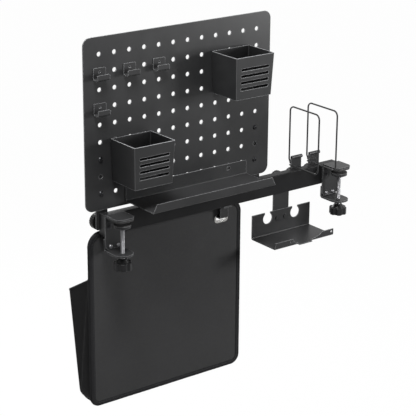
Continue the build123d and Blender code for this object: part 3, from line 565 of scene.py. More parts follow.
class Growth(Tree):
    """A tree of Geometry Nodes with named inputs"""

    def __init__(self, name, inputs):
        tree = bpy.data.node_groups.new(name, "GeometryNodeTree")
        super().__init__(tree)
        tree.interface.new_socket("Geometry", in_out="INPUT", socket_type="NodeSocketGeometry")
        for label, kind, default in inputs:
            socket = tree.interface.new_socket(label, in_out="INPUT", socket_type=f"NodeSocket{kind}")
            if default is not None:
                socket.default_value = default
        tree.interface.new_socket("Geometry", in_out="OUTPUT", socket_type="NodeSocketGeometry")
        self.inputs = self.node("NodeGroupInput").outputs

    def number(self, name):
        """A named input as a number."""
        return Value(self.tree, self.inputs[name])

    def patch(self, rounds, rows):
        """A unit patch of faces, with its two coordinates from 0 to 1."""
        grid = self.node("GeometryNodeMeshGrid", None, {
            "Size X": 1.0, "Size Y": 1.0, "Vertices X": rounds, "Vertices Y": rows,
        })
        place = self.node("GeometryNodeInputPosition").outputs[0]
        split = self.node("ShaderNodeSeparateXYZ", None, {0: place})
        across, along = (Value(self.tree, split.outputs[k]) + 0.5 for k in (0, 1))
        return grid.outputs["Mesh"], across, along

    def placed(self, mesh, x, y, z):
        """The mesh with its points at new coordinates and its seams merged."""
        place = self.node("ShaderNodeCombineXYZ", None, {0: x, 1: y, 2: z})
        moved = self.node("GeometryNodeSetPosition", None, {"Geometry": mesh, "Position": place.outputs[0]})
        merged = self.node("GeometryNodeMergeByDistance", None, {
            "Geometry": moved.outputs[0], "Distance": SEAM_GAP,
        })
        return merged.outputs[0]

    def end(self, geometry, material):
        """Ends the tree in real faces with a material."""
        real = self.node("GeometryNodeRealizeInstances", None, {"Geometry": geometry})
        painted = self.node("GeometryNodeSetMaterial", None, {
            "Geometry": real.outputs[0], "Material": material,
        })
        output = self.node("NodeGroupOutput")
        self.tree.links.new(painted.outputs[0], output.inputs[0])
        return self.tree


def thread_tree(material):
    """A threaded rod that stands on a place, with a plain tip."""
    growth = Growth("threaded rod", [
        ("Place", "Vector", None), ("Length", "Float", 0.06), ("Radius", "Float", 0.003),
        ("Pitch", "Float", 0.001), ("Depth", "Float", 0.0004), ("Tip", "Float", 0.005),
        ("Tip Radius", "Float", 0.0025), ("Rows", "Int", 300), ("Rounds", "Int", THREAD_ROUNDS),
    ])
    mesh, across, along = growth.patch(growth.inputs["Rounds"], growth.inputs["Rows"])
    length = growth.number("Length")
    turn, height = across * TURN, along * length
    ridge = abs((height / growth.number("Pitch") - across).fraction() - 0.5) * 2
    radius = growth.number("Radius") - growth.number("Depth") * ridge
    tip = height > (length - growth.number("Tip"))
    radius = radius * (1 - tip) + growth.number("Tip Radius") * tip
    radius = radius * (along > END_SHARE) * (along < 1 - END_SHARE)
    rod = growth.placed(mesh, turn.cosine() * radius, turn.sine() * radius, height)
    moved = growth.node("GeometryNodeTransform", None, {
        "Geometry": rod, "Translation": growth.inputs["Place"],
    })
    return growth.end(moved.outputs[0], material)


def screw_tree(material):
    """A screw with a cross recess at each point: domed or flat head, cone and shank."""
    growth = Growth("recessed screws", [
        ("Head Radius", "Float", 0.004), ("Head Height", "Float", 0.002), ("Cone", "Float", 0.0),
        ("Shank Radius", "Float", 0.002), ("Shank Length", "Float", 0.01), ("Recess Width", "Float", 0.001),
        ("Recess Depth", "Float", 0.001), ("Facing", "Rotation", None),
    ])
    mesh, across, along = growth.patch(SCREW_POINTS, SCREW_POINTS)
    head, shank = growth.number("Head Radius"), growth.number("Shank Radius")
    rise, cone = growth.number("Head Height"), growth.number("Cone")
    stages = along * 4
    dome, under, stem, end = ((stages - k).clamped() for k in range(4))
    radius = head * dome + (shank - head) * under - shank * end
    turn = across * TURN
    x, y = turn.cosine() * radius, turn.sine() * radius
    # the two slots of the recess, with soft walls, over the middle of the head
    slot_share, slot_wall_share = 0.62, 0.24
    recess_share, recess_wall_share = 0.58, 0.16
    width = growth.number("Recess Width")
    arm = abs(x).smaller(abs(y))
    wall = ((width * slot_share - arm) / (width * slot_wall_share)).clamped()
    inside = ((head * recess_share - radius) / (head * recess_wall_share)).clamped()
    recess = wall * inside * (1 - under)
    dome_power = 3.2
    height = rise * (1 - dome ** dome_power) - cone * under - (growth.number("Shank Length") - cone) * stem
    height = height - growth.number("Recess Depth") * recess
    screw = growth.placed(mesh, x, y, height)
    spin_step = 0.83
    spin = growth.value("GeometryNodeInputIndex") * spin_step
    placed = growth.node("GeometryNodeInstanceOnPoints", None, {
        "Points": growth.inputs["Geometry"], "Instance": screw, "Rotation": growth.inputs["Facing"],
    })
    turned = growth.node("GeometryNodeRotateInstances", None, {
        "Instances": placed.outputs[0],
        "Rotation": growth.node("ShaderNodeCombineXYZ", None, {2: spin}).outputs[0],
    })
    return growth.end(turned.outputs[0], material)


def stitch_tree(material):
    """Stitches along a chain of edges."""
    growth = Growth("stitches", [
        ("Pitch", "Float", 0.004), ("Length", "Float", 0.003), ("Radius", "Float", 0.0003),
    ])
    curve = growth.node("GeometryNodeMeshToCurve", None, {"Mesh": growth.inputs["Geometry"]})
    spaced = growth.node("GeometryNodeResampleCurve", {"mode": "LENGTH"}, {
        "Curve": curve.outputs[0], "Length": growth.inputs["Pitch"],
    })
    facing = growth.node("FunctionNodeAlignRotationToVector", {"axis": "Z"}, {
        "Vector": growth.node("GeometryNodeInputTangent").outputs[0],
    })
    bead = growth.node("GeometryNodeMeshUVSphere", None, {"Segments": 6, "Rings": 5, "Radius": 1.0})
    size = growth.node("ShaderNodeCombineXYZ", None, {
        0: growth.number("Radius"), 1: growth.number("Radius"), 2: growth.number("Length") * 0.5,
    })
    placed = growth.node("GeometryNodeInstanceOnPoints", None, {
        "Points": spaced.outputs[0], "Instance": bead.outputs["Mesh"],
        "Rotation": facing.outputs[0], "Scale": size.outputs[0],
    })
    return growth.end(placed.outputs[0], material)


# Pieces

COATED = (
    ["pegboard_panel", "shelf", "tray_hanger", "cable_tray"]
    + [f"divider_bracket_{i}" for i in (1, 2)]
    + [f"small_hook_{i}" for i in (1, 2, 3, 4)]
    + [f"{n}_{s}" for n in ("clamp_upper", "clamp_lower", "panel_strap") for s in SIDES]
    + [f"{n}_{s}" for n in ("bag_hook", "swivel_pad") for s in SIDES]
)
CUPS = ["pen_cup_upper", "pen_cup_lower"]
WIRES = ["divider_wire_1", "divider_wire_2"]
DARK_FASTENERS = ["panel_nuts"]
BRIGHT_FASTENERS = (
    ["clamp_joining_nuts", "strap_bolts", "strap_washers", "tray_bolt", "tray_washer"]
    + [f"divider_{n}_{i}" for n in ("bolt", "washer") for i in (1, 2)]
)
MOULDED = (
    ["tray_knob", "divider_knob_1", "divider_knob_2"]
    + [f"{n}_{s}" for n in ("rail_end_cap", "clamp_knob", "strap_knob") for s in SIDES]
)


class ORGANIZER_OT_coat_metal(bpy.types.Operator):
    """Coat the sheet metal and the wires in satin black"""

    bl_idname = "organizer.coat_metal"
    bl_label = "Coat the metal"

    def execute(self, context):
        dress(COATED, "PowderCoat")
        dress(CUPS, "CupCoat")
        dress(["tray_rivets"], "RivetCoat")
        dress(["rail"], "RailCoat")
        dress(WIRES, "WireCoat")
        return {"FINISHED"}


class ORGANIZER_OT_finish_fittings(bpy.types.Operator):
    """Finish the nuts, washers, bolts, knobs, end caps and grommets"""

    bl_idname = "organizer.finish_fittings"
    bl_label = "Finish the fittings"

    def execute(self, context):
        dress(DARK_FASTENERS, "BlackOxide")
        dress(BRIGHT_FASTENERS, "BrightZinc")
        dress(MOULDED, "KnobPlastic")
        dress(["bag_grommets"], "Nickel")
        return {"FINISHED"}


class ORGANIZER_OT_cut_threads(bpy.types.Operator):
    """Give the clamp screws their threads"""

    bl_idname = "organizer.cut_threads"
    bl_label = "Cut the clamp threads"

    def execute(self, context):
        sizes = settings().fastener
        tree = thread_tree(finish("BrightZinc"))
        for side in SIDES:
            node = f"clamp_screw_{side}"
            low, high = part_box(node)
            length = high.z - low.z
            mesh = grown(f"ThreadedScrew_{side}", tree, bpy.data.meshes.new("empty"), {
                "Place": ((low.x + high.x) / 2, (low.y + high.y) / 2, low.z), "Length": length,
                "Radius": (high.x - low.x) / 2, "Pitch": sizes.pitch, "Depth": sizes.thread_depth,
                "Tip": sizes.spigot_height, "Tip Radius": sizes.spigot,
                "Rows": int(THREAD_ROWS_PER_TURN * length / sizes.pitch), "Rounds": THREAD_ROUNDS,
            })
            smooth_shaded(outwards(mesh), angle=50)
            piece(mesh.name, mesh, f"{side}_screw", [node], "zinc")
        return {"FINISHED"}


def outwards(mesh):
    """Turns a mesh's faces outwards."""
    work = bmesh.new()
    work.from_mesh(mesh)
    bmesh.ops.recalc_face_normals(work, faces=work.faces[:])
    work.to_mesh(mesh)
    work.free()
    return mesh


class ORGANIZER_OT_drive_screws(bpy.types.Operator):
    """Set the screws with their cross recesses"""

    bl_idname = "organizer.drive_screws"
    bl_label = "Drive the screws"

    def execute(self, context):
        sizes = settings().fastener
        forward, down = (math.pi / 2, 0, 0), (math.pi, 0, 0)
        joining = (sizes.joining_head, 0.0, sizes.joining_shank)
        flat = (sizes.rail_rise, sizes.rail_cone, sizes.rail_shank)
        panel = (sizes.panel_head, 0.0, sizes.panel_shank)
        hook = (sizes.hook_head, 0.0, sizes.hook_shank)
        # node, body, finish, slot, facing, and the head's height, its cone and the shank's radius
        kinds = (
            ("clamp_joining_screws", "frame", "BrightZinc", "zinc", forward, joining),
            ("clamp_rail_screws", "frame", "BlackOxide", "black_screws", forward, flat),
            ("panel_screws", "pegboard", "BlackOxide", "black_screws", forward, panel),
            ("bag_hook_screws", "frame", "BlackOxide", "black_screws", down, hook),
        )
        for node, body, look, slot, facing, (rise, cone, shank) in kinds:
            boxes = solid_boxes(node)
            axis = 1 if facing is forward else 2
            points = []
            for low, high in boxes:
                point = (low + high) / 2
                point[axis] = low[axis] + rise
                points.append(point)
            low, high = boxes[0]
            mesh = grown("Recessed_" + node, screw_tree(finish(look)), point_mesh(node, points), {
                "Head Radius": (high.x - low.x) / 2, "Head Height": rise, "Cone": cone,
                "Shank Radius": shank, "Shank Length": high[axis] - low[axis] - rise,
                "Recess Width": sizes.recess_width, "Recess Depth": sizes.recess_depth, "Facing": facing,
            })
            smooth_shaded(outwards(mesh), angle=45)
            piece(mesh.name, mesh, body, [node], slot)
        return {"FINISHED"}


LEVEL_GAP = 1e-9
PAD_CORNER_STEPS = 10
DISC_STEPS = 48


def soft_slab(name, outline, low, high, edge):
    """A slab of foam rubber with eased edges, from an outline of (x, y) points."""
    work = bmesh.new()
    ring = [work.verts.new((x, y, low)) for x, y in outline]
    base = work.faces.new(ring)
    top = bmesh.ops.extrude_face_region(work, geom=[base])
    moved = [v for v in top["geom"] if isinstance(v, bmesh.types.BMVert)]
    bmesh.ops.translate(work, verts=moved, vec=(0, 0, high - low))
    bmesh.ops.recalc_face_normals(work, faces=work.faces[:])
    flat = [e for e in work.edges if abs(e.verts[0].co.z - e.verts[1].co.z) < LEVEL_GAP]
    bmesh.ops.bevel(work, geom=flat, offset=edge, segments=3, profile=0.6, affect="EDGES")
    return smooth_shaded(from_bmesh(work, name), angle=35)


def arc(centre, radius, start, end, count):
    """Points along an arc, with its angles in turns."""
    points = []
    for i in range(count + 1):
        turn = TURN * (start + (end - start) * i / count)
        points.append((centre[0] + radius * math.cos(turn), centre[1] + radius * math.sin(turn)))
    return points


class ORGANIZER_OT_fit_pads(bpy.types.Operator):
    """Fit the soft pads in the clamps' jaws"""

    bl_idname = "organizer.fit_pads"
    bl_label = "Fit the clamp pads"

    corner: length_setting("Pad corner", "Radius of the jaw pads' front corners", 0.0085)
    edge: length_setting("Pad edge", "Radius of the pads' eased edges", 0.0004)

    def execute(self, context):
        for side in SIDES:
            low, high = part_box(f"jaw_pad_{side}")
            r = self.corner
            outline = arc((low.x + r, low.y + r), r, 0.5, 0.75, PAD_CORNER_STEPS)
            outline += arc((high.x - r, low.y + r), r, 0.75, 1.0, PAD_CORNER_STEPS)
            outline += [(high.x, high.y), (low.x, high.y)]
            mesh = soft_slab(f"JawPad_{side}", outline, low.z, high.z, self.edge)
            pad = piece(mesh.name, mesh, "frame", [f"jaw_pad_{side}"], "soft_pad", "PadRubber")
            low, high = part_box(f"swivel_facing_{side}")
            centre, r = ((low.x + high.x) / 2, (low.y + high.y) / 2), (high.x - low.x) / 2
            outline = arc(centre, r, 0, 1, DISC_STEPS)[:-1]
            mesh = soft_slab(f"SwivelFacing_{side}", outline, low.z, high.z, self.edge / 2)
            disc = piece(mesh.name, mesh, f"{side}_pad", [f"swivel_facing_{side}"], "soft_pad", "PadRubber")
        return {"FINISHED"}


# Bag

OUTLINE_STEP = 0.004
BAG_CORNER_STEPS = 16
NOSE_STEPS = 12
SMOOTHING_ROUNDS = 3
# rows of the pocket's cloth along its bottom, round the fold and up its back
BOTTOM_ROWS, FOLD_ROWS, BACK_ROWS = 8, 8, 36
# steps along each row, through a gusset, round its fold and across the back
GUSSET_STEPS, BEND_STEPS, BACK_STEPS = 11, 6, 64
HEM_ROWS = 5
HANGING_FRAMES = 18
SEAM_REACH = 0.0006
SETTLING_LIMIT = 0.0015


def bag_outline(inset):
    """Points round the bag's front at an inset from its edge, with outward directions."""
    low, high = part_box("bag_binding")
    top, bottom = settings().bag.top_corner, settings().bag.bottom_corner
    corners = (
        (high.x, high.z, 0.0), (low.x, high.z, 0.25), (low.x, low.z, 0.5), (high.x, low.z, 0.75),
    )
    middle = ((low.x + high.x) / 2, (low.z + high.z) / 2)
    points = []
    for x, z, start in corners:
        radius = top if z > middle[1] else bottom
        centre = (x - math.copysign(radius, x - middle[0]), z - math.copysign(radius, z - middle[1]))
        for i in range(BAG_CORNER_STEPS + 1):
            turn = TURN * (start + 0.25 * i / BAG_CORNER_STEPS)
            way = Vector((math.cos(turn), 0, math.sin(turn)))
            points.append((Vector((centre[0], 0, centre[1])) + way * (radius - inset), way))
    # fill in the straight runs
    ring = []
    for i, (point, way) in enumerate(points):
        after, next_way = points[(i + 1) % len(points)]
        run = (after - point).length
        steps = max(1, int(run / OUTLINE_STEP))
        for k in range(steps):
            share = k / steps
            ring.append((point.lerp(after, share), way.lerp(next_way, share).normalized()))
    return ring


def swept(name, ring, profile, closed):
    """A tube with a profile of (outward, across) offsets along points with two directions each."""
    work = bmesh.new()
    uv = work.loops.layers.uv.new("Surface")
    rows, lengths, run = [], [], 0.0
    for i, (point, outward, across) in enumerate(ring):
        if i:
            run += (point - ring[i - 1][0]).length
        lengths.append(run)
        rows.append([work.verts.new(point + outward * a + across * b) for a, b in profile])
    count = len(profile)
    around = [0.0]
    for (a, b), (c, d) in zip(profile, profile[1:] + profile[:1]):
        around.append(around[-1] + math.hypot(c - a, d - b))
    last = len(rows) if closed else len(rows) - 1
    for i in range(last):
        after = (i + 1) % len(rows)
        here, there = lengths[i], lengths[after] if after else run + OUTLINE_STEP
        for k in range(count):
            beside = (k + 1) % count
            face = work.faces.new((rows[i][k], rows[after][k], rows[after][beside], rows[i][beside]))
            low, high = around[k], around[k + 1]
            places = ((here, low), (there, low), (there, high), (here, high))
            for loop, place in zip(face.loops, places):
                loop[uv].uv = place
    if not closed:
        work.faces.new(rows[0])
        work.faces.new(rows[-1][::-1])
    return smooth_shaded(from_bmesh(work, name), angle=60)


def stitched(name, points, sizes, closed=False):
    """A row of stitches along points on the bag."""
    chain = point_mesh("seam", points, chain=True, closed=closed)
    mesh = grown(name, stitch_tree(finish("SewingThread")), chain, {
        "Pitch": sizes.stitch_pitch, "Length": sizes.stitch_length, "Radius": sizes.stitch_radius,
    })
    return piece(name, smooth_shaded(mesh), "bag", [], "bag_tape")


class ORGANIZER_OT_stretch_bag_front(bpy.types.Operator):
    """Stretch the cloth over the bag's stiff front"""

    bl_idname = "organizer.stretch_bag_front"
    bl_label = "Stretch the bag's front"

    def execute(self, context):
        sizes = settings().bag
        work = bmesh.new()
        work.from_mesh(NODES["bag_panel"].data)
        board = from_bmesh(work, "board", merge=1e-6)

        def remesh(thing):
            modifier = thing.modifiers.new("cloth", "REMESH")
            modifier.mode, modifier.voxel_size = "VOXEL", sizes.voxel
        mesh = evaluated(board, "BagFront", remesh)
        low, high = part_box("bag_panel")
        middle, half = (low + high) / 2, (high - low) / 2
        work = bmesh.new()
        work.from_mesh(mesh)
        for _ in range(SMOOTHING_ROUNDS):
            bmesh.ops.smooth_vert(
                work, verts=work.verts[:], factor=0.5,
                use_axis_x=True, use_axis_y=True, use_axis_z=True,
            )
        # broad and fine waves: how many to a metre, and the layer of the noise that each is read from
        broad, broad_layer = 14, 3.1
        fine, fine_layer, fine_share = 38, 8.7, 0.45
        for vertex in work.verts:
            place = vertex.co
            across, up = (place.x - middle.x) / half.x, (place.z - middle.z) / half.z
            swell = (1 - across ** 4) * (1 - up ** 4)
            wave = noise.noise(Vector((place.x * broad, broad_layer, place.z * broad)))
            wave += fine_share * noise.noise(Vector((place.x * fine, fine_layer, place.z * fine)))
            side = (place.y - middle.y) / half.y
            place.y += side * (sizes.crown * swell + sizes.ripple * swell * wave)
        work.to_mesh(mesh)
        work.free()
        smooth_shaded(mesh, angle=70)
        front = piece("BagFront", mesh, "bag", ["bag_panel"], "bag_cloth", "BagWeave")
        return {"FINISHED"}


class ORGANIZER_OT_bind_bag_edge(bpy.types.Operator):
    """Fold the binding tape over the bag's edge and stitch it"""

    bl_idname = "organizer.bind_bag_edge"
    bl_label = "Bind the bag's edge"

    def execute(self, context):
        sizes = settings().bag
        low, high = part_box("bag_binding")
        middle = (low.y + high.y) / 2
        half, width = sizes.binding_half, sizes.binding_width
        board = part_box("bag_panel")
        gap, ease, lip, wall = 0.00012, 0.00025, 0.0008, 0.0013
        inner = (board[1].y - board[0].y) / 2 + gap
        profile = [(-width, -inner), (-width, -half + ease), (-width + lip, -half)]
        profile += arc((-half, 0.0), half, -0.25, 0.25, NOSE_STEPS)
        profile += [(-width + lip, half), (-width, half - ease), (-width, inner)]
        profile += [(-wall, inner), (-wall, -inner)]
        # the thread's even pull, an uneven waver, and a tuck that draws the whole edge in
        pull, pull_pitch = 0.00010, 0.0084
        waver, waver_scale = 0.00016, 55
        tuck = 0.0001
        ring, run = [], 0.0
        outline = bag_outline(0.0)
        for i, (point, way) in enumerate(outline):
            if i:
                run += (point - outline[i - 1][0]).length
            pucker = pull * math.sin(TURN * run / pull_pitch) + waver * noise.noise(point * waver_scale)
            place = point + Vector((0, middle, 0)) + way * (pucker - tuck)
            ring.append((place, way, Vector((0, 1, 0))))
        mesh = swept("BagBinding", ring, profile, closed=True)
        piece("BagBinding", mesh, "bag", ["bag_binding"], "bag_tape", "BindingTape")
        seam_share, stitch_rise = 0.78, 0.25
        for name, side in (("front", -1), ("back", 1)):
            lift = middle + side * (half + sizes.stitch_radius * stitch_rise)
            points = [p + Vector((0, lift, 0)) for p, _ in bag_outline(width * seam_share)]
            stitched(f"BindingStitches_{name}", points, sizes, closed=True)
        return {"FINISHED"}


def pocket_rows(sizes, low, high):
    """The pocket's depth and rise, row by row from its front bottom edge to its mouth."""
    bottom, deep = low.z, high.y - low.y - sizes.cloth_thickness / 2
    fold, start = sizes.fold, sizes.bottom_depth - sizes.cloth_thickness / 2
    rear_mouth = high.z - sizes.mouth_drop
    slope = (deep - start) / (rear_mouth - bottom)
    rows = [((start - fold) * i / BOTTOM_ROWS, bottom) for i in range(BOTTOM_ROWS)]
    lean = math.atan(slope)
    for i in range(FOLD_ROWS + 1):
        turn = (math.pi / 2 - lean) * i / FOLD_ROWS
        rows.append((start - fold + fold * math.sin(turn), bottom + fold * (1 - math.cos(turn))))
    first = rows[-1]
    for i in range(1, BACK_ROWS + 1):
        share = i / BACK_ROWS
        rows.append((first[0] + (deep - first[0]) * share, first[1] + (rear_mouth - first[1]) * share))
    return rows


def pocket_grid(sizes):
    """Rows of points over the pocket's cloth, from gusset to gusset."""
    low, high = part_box("bag_pocket")
    half_cloth = sizes.cloth_thickness / 2
    low = Vector((low.x + half_cloth, low.y, low.z + half_cloth))
    high = Vector((high.x - half_cloth, high.y, high.z))
    middle, reach = (low.x + high.x) / 2, (high.x - low.x) / 2
    seam_inset, most_fold, belly_stretch = 0.0015, 0.45, 1.15
    radius = sizes.bottom_corner - seam_inset - half_cloth
    rows = pocket_rows(sizes, low, high)
    rear_mouth = rows[-1][1]

    def half_width(z):
        drop = low.z + radius - z
        return reach if drop <= 0 else reach - radius + math.sqrt(max(0.0, radius ** 2 - drop ** 2))

    side = [("gusset", i / GUSSET_STEPS) for i in range(GUSSET_STEPS + 1)]
    side += [("bend", i / BEND_STEPS) for i in range(1, BEND_STEPS)]
    back = [("back", i / BACK_STEPS) for i in range(BACK_STEPS + 1)]
    grid = []
    for depth, rise in rows:
        share = (rise - low.z) / (rear_mouth - low.z)
        fold = min(sizes.gusset_fold, most_fold * depth)
        line = []
        for kind, step in side + back + side[::-1]:
            if kind == "gusset":
                y, inward = (depth - fold) * step, 0.0
            elif kind == "bend":
                y = depth - fold + fold * math.sin(math.pi / 2 * step)
                inward = fold * (1 - math.cos(math.pi / 2 * step))
            else:
                y, inward = depth, None
            front_rise = low.z + share * (high.z - low.z)
            z = front_rise + (rise - front_rise) * (y / depth if depth else 0)
            wide = half_width(z)
            if kind == "back":
                x = -(wide - fold) + 2 * (wide - fold) * step
                swell = (1 - (2 * step - 1) ** 4) * math.sin(math.pi * min(1, share * belly_stretch))
                y += sizes.belly * swell * (1 if depth > fold * 2 else 0)
                z -= sizes.slack * (1 - (2 * step - 1) ** 2) * share ** 6
            else:
                on_left = len(line) < len(side)
                x = -(wide - inward) if on_left else wide - inward
            line.append(Vector((middle + x, low.y + y, z)))
        grid.append(line)
    return grid


def cloth_mesh(name, grid):
    """A sheet through rows of points, with its own lengths as its surface map."""
    work = bmesh.new()
    uv = work.loops.layers.uv.new("Surface")
    rows = [[work.verts.new(p) for p in line] for line in grid]
    widest = grid[-1]
    across = [0.0]
    for a, b in zip(widest, widest[1:]):
        across.append(across[-1] + (b - a).length)
    along = [0.0]
    for a, b in zip(grid, grid[1:]):
        along.append(along[-1] + (b[len(b) // 2] - a[len(a) // 2]).length)
    for j in range(len(rows) - 1):
        for i in range(len(rows[0]) - 1):
            corners = ((j, i), (j, i + 1), (j + 1, i + 1), (j + 1, i))
            face = work.faces.new([rows[b][a] for b, a in corners])
            for loop, (b, a) in zip(face.loops, corners):
                loop[uv].uv = (across[a], along[b])
    return from_bmesh(work, name, merge=5e-6, recalculate=False)


def hung(mesh, front):
    """The pocket's cloth after it has hung by its seams for a moment."""
    rest = [v.co.copy() for v in mesh.vertices]
    thing = bpy.data.objects.new("hanging", mesh)
    scene = bpy.context.scene
    scene.collection.objects.link(thing)
    seams = thing.vertex_groups.new(name="seams")
    bottom = min(p.z for p in rest)
    for i, place in enumerate(rest):
        if place.y < front + SEAM_REACH or place.z < bottom + SEAM_REACH:
            seams.add([i], 1.0, "REPLACE")
    cloth = thing.modifiers.new("cloth", "CLOTH")
    how = cloth.settings
    how.quality, how.mass, how.air_damping = 6, 0.25, 4.0
    how.tension_stiffness = how.compression_stiffness = how.shear_stiffness = 60
    how.bending_stiffness = 12
    how.vertex_group_mass = seams.name
    cloth.collision_settings.use_collision = False
    cloth.point_cache.frame_start, cloth.point_cache.frame_end = 1, HANGING_FRAMES
    for step in range(1, HANGING_FRAMES + 1):
        scene.frame_set(step)
    graph = bpy.context.evaluated_depsgraph_get()
    shaped = thing.evaluated_get(graph).to_mesh()
    moved = [v.co.copy() for v in shaped.vertices]
    thing.evaluated_get(graph).to_mesh_clear()
    thing.modifiers.clear()
    bpy.data.objects.remove(thing)
    scene.frame_set(1)
    for vertex, start, end in zip(mesh.vertices, rest, moved):
        shift = end - start
        if shift.length > SETTLING_LIMIT:
            shift *= SETTLING_LIMIT / shift.length
        vertex.co = start + shift
    return mesh


class ORGANIZER_OT_sew_pocket(bpy.types.Operator):
    """Sew the pocket behind the bag's front, with its hem and stitches"""

    bl_idname = "organizer.sew_pocket"
    bl_label = "Sew the pocket"

    def execute(self, context):
        sizes = settings().bag
        grid = pocket_grid(sizes)
        sheet = cloth_mesh("BagPocket", grid)
        front = min(v.co.y for v in sheet.vertices)
        places = kdtree.KDTree(len(sheet.vertices))
        for vertex in sheet.vertices:
            places.insert(vertex.co, vertex.index)
        places.balance()
        sheet = hung(sheet, front)
        grid = [[sheet.vertices[places.find(p)[1]].co.copy() for p in line] for line in grid]

        def thicken(thing):
            wall = thing.modifiers.new("wall", "SOLIDIFY")
            wall.thickness, wall.offset = sizes.cloth_thickness, 0.0
            wall.use_even_offset = False
        mesh = smooth_shaded(evaluated(sheet, "BagPocket", thicken), angle=60)
        # the pocket's weave is painted darker than the front's, as painted shade
        pocket = piece("BagPocket", mesh, "bag", ["bag_pocket"], "bag_cloth", "PocketWeave")
        hem = self.hem(sizes, grid)
        wide = sum((b - a).length for a, b in zip(grid[-1], grid[-1][1:]))
        middle = len(grid[0]) // 2
        tall = sum((b[middle] - a[middle]).length for a, b in zip(grid, grid[1:])) + sizes.mouth_drop
        return {"FINISHED"}

    def hem(self, sizes, grid):
        """The folded tape round the pocket's mouth, and its stitches."""
        mouth, below = grid[-1], grid[-1 - HEM_ROWS]
        ring, seam = [], []
        half = sizes.cloth_thickness / 2
        seam_share, stitch_rise = 1.7, 0.3
        drop, lift = sizes.hem * seam_share, half + sizes.stitch_radius * stitch_rise
        for i, point in enumerate(mouth):
            ahead = mouth[min(i + 1, len(mouth) - 1)] - mouth[max(i - 1, 0)]
            down = (below[i] - point).normalized()
            out = down.cross(ahead).normalized()
            ring.append((point, out, down))
            seam.append(point + down * drop + out * lift)
        ease, gap, wall, crown_share = 0.0004, 0.00015, 0.0012, 0.6
        proud, inner, tall = half + ease, half + gap, sizes.hem
        crown = proud * crown_share
        profile = [
            (-proud, tall), (-proud, ease), (-crown, -ease), (crown, -ease), (proud, ease),
            (proud, tall), (inner, tall), (inner, wall), (-inner, wall), (-inner, tall),
        ]
        mesh = swept("PocketHem", ring, profile, closed=False)
        tape = piece("PocketHem", mesh, "bag", [], "bag_tape", "BindingTape")
        return [tape, stitched("HemStitches", seam, sizes)]


# Stage

def lamp(name, place, target, size, power):
    """A large soft lamp that looks at a point."""
    light = bpy.data.lights.new(name, "AREA")
    light.shape, light.size, light.size_y, light.energy = "RECTANGLE", size, size, power
    thing = bpy.data.objects.new(name, light)
    thing.location = place
    thing.rotation_euler = (Vector(target) - Vector(place)).to_track_quat("-Z", "Y").to_euler()
    thing.visible_camera = False
    bpy.context.scene.collection.objects.link(thing)


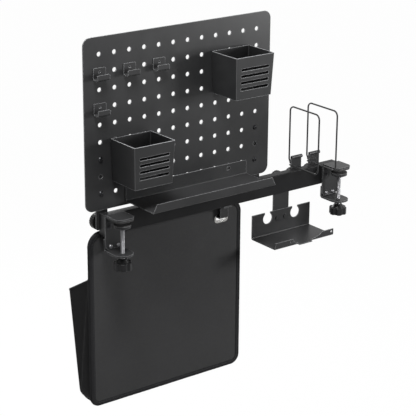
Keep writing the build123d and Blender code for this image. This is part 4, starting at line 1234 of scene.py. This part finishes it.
class ORGANIZER_OT_set_stage(bpy.types.Operator):
    """Set the camera, the lamps, the pale floor and the white room"""

    bl_idname = "organizer.set_stage"
    bl_label = "Set the stage"

    def execute(self, context):
        scene, look = context.scene, settings().stage
        scene.view_settings.view_transform = "Standard"
        camera = bpy.data.cameras.new("Camera")
        camera.lens, camera.sensor_width, camera.sensor_fit = look.lens, 36.0, "AUTO"
        camera.clip_start, camera.clip_end = 0.05, 50.0
        eye = bpy.data.objects.new("Camera", camera)
        scene.collection.objects.link(eye)
        right = (0.79687914, -0.6040916, 0.00754797)
        up = (0.19339291, 0.26690812, 0.94411823)
        back = (-0.57234851, -0.7508884, 0.32952055)
        place = (-1.359446, -1.734601, 0.739843)
        columns = Matrix((right, up, back)).transposed().to_4x4()
        eye.matrix_world = Matrix.Translation(place) @ columns
        scene.camera = eye
        lamp("KeyLamp", (0.74, -0.66, 0.24), target=(0, 0, 0.15), size=0.24, power=look.key_power)
        lamp("TopLamp", (-0.4, -0.3, 0.95), target=(-0.1, -0.02, 0), size=0.4, power=look.top_power)
        lamp("BackLamp", (0.1, 1.5, 0.5), target=(0, 0, 0), size=1.0, power=look.back_power)
        self.floor(look)
        self.room(look)
        return {"FINISHED"}

    def seen_white(self, tree):
        """How far a ray should see plain white."""
        path = tree.node("ShaderNodeLightPath").outputs
        kinds = ("Camera", "Glossy", "Transmission")
        seen, glossy, through = (Value(tree.tree, path[f"Is {kind} Ray"]) for kind in kinds)
        return (seen + glossy + through).clamped()

    def floor(self, look):
        """A wide pale floor at the foot of the table."""
        work = bmesh.new()
        bmesh.ops.create_circle(work, cap_ends=True, segments=96, radius=6.0)
        bmesh.ops.translate(work, verts=work.verts[:], vec=(0, 0, look.floor_height))
        mesh = from_bmesh(work, "Floor", recalculate=False)
        floor = bpy.data.objects.new("Floor", mesh)
        bpy.context.scene.collection.objects.link(floor)
        material = bpy.data.materials.new("PaleFloor")
        material.use_nodes = True
        tree = Tree(material.node_tree)
        material.node_tree.nodes.clear()
        pale = tree.node("ShaderNodeBsdfDiffuse", None, {"Color": (*look.floor, 1)})
        white = tree.node("ShaderNodeEmission", None, {"Color": (1, 1, 1, 1), "Strength": 1.0})
        white_share = 0.985
        share = self.seen_white(tree) * white_share
        mixed = tree.node("ShaderNodeMixShader", None, {0: share, 1: pale.outputs[0], 2: white.outputs[0]})
        tree.node("ShaderNodeOutputMaterial", None, {"Surface": mixed.outputs[0]})
        mesh.materials.append(material)

    def room(self, look):
        """An even white room."""
        world = bpy.data.worlds.new("WhiteRoom")
        world.use_nodes = True
        bpy.context.scene.world = world
        tree = Tree(world.node_tree)
        world.node_tree.nodes.clear()
        strength = self.seen_white(tree) * (1 - look.room_light) + look.room_light
        air = tree.node("ShaderNodeBackground", None, {"Color": (1, 1, 1, 1), "Strength": strength})
        tree.node("ShaderNodeOutputWorld", None, {"Surface": air.outputs[0]})


STEPS = (
    ORGANIZER_OT_set_stage,
    ORGANIZER_OT_coat_metal,
    ORGANIZER_OT_finish_fittings,
    ORGANIZER_OT_cut_threads,
    ORGANIZER_OT_drive_screws,
    ORGANIZER_OT_fit_pads,
    ORGANIZER_OT_stretch_bag_front,
    ORGANIZER_OT_bind_bag_edge,
    ORGANIZER_OT_sew_pocket,
)


class ORGANIZER_PT_steps(bpy.types.Panel):
    """Lists the steps that dress the organizer"""

    bl_idname = "ORGANIZER_PT_steps"
    bl_label = "Desk organizer"
    bl_space_type = "VIEW_3D"
    bl_region_type = "UI"
    bl_category = "Organizer"

    def draw(self, context):
        for step in STEPS:
            self.layout.operator(step.bl_idname)
        for group in (settings().finish, settings().fastener, settings().bag, settings().stage):
            box = self.layout.box()
            for name in group.__annotations__:
                box.prop(group, name)


CLASSES = (
    FinishSettings, FastenerSettings, BagSettings, StageSettings, OrganizerSettings,
    *STEPS, ORGANIZER_PT_steps,
)


def register():
    """Makes the settings, steps and panel known to Blender."""
    for cls in CLASSES:
        bpy.utils.register_class(cls)
    bpy.types.Scene.organizer = bpy.props.PointerProperty(type=OrganizerSettings)


def unregister():
    """Takes the settings, steps and panel away again."""
    del bpy.types.Scene.organizer
    for cls in reversed(CLASSES):
        bpy.utils.unregister_class(cls)


def main():
    """Dresses the organizer."""
    register()
    for step in STEPS:
        group, name = step.bl_idname.split(".")
        getattr(getattr(bpy.ops, group), name)()


if __name__ == "__main__":
    main()
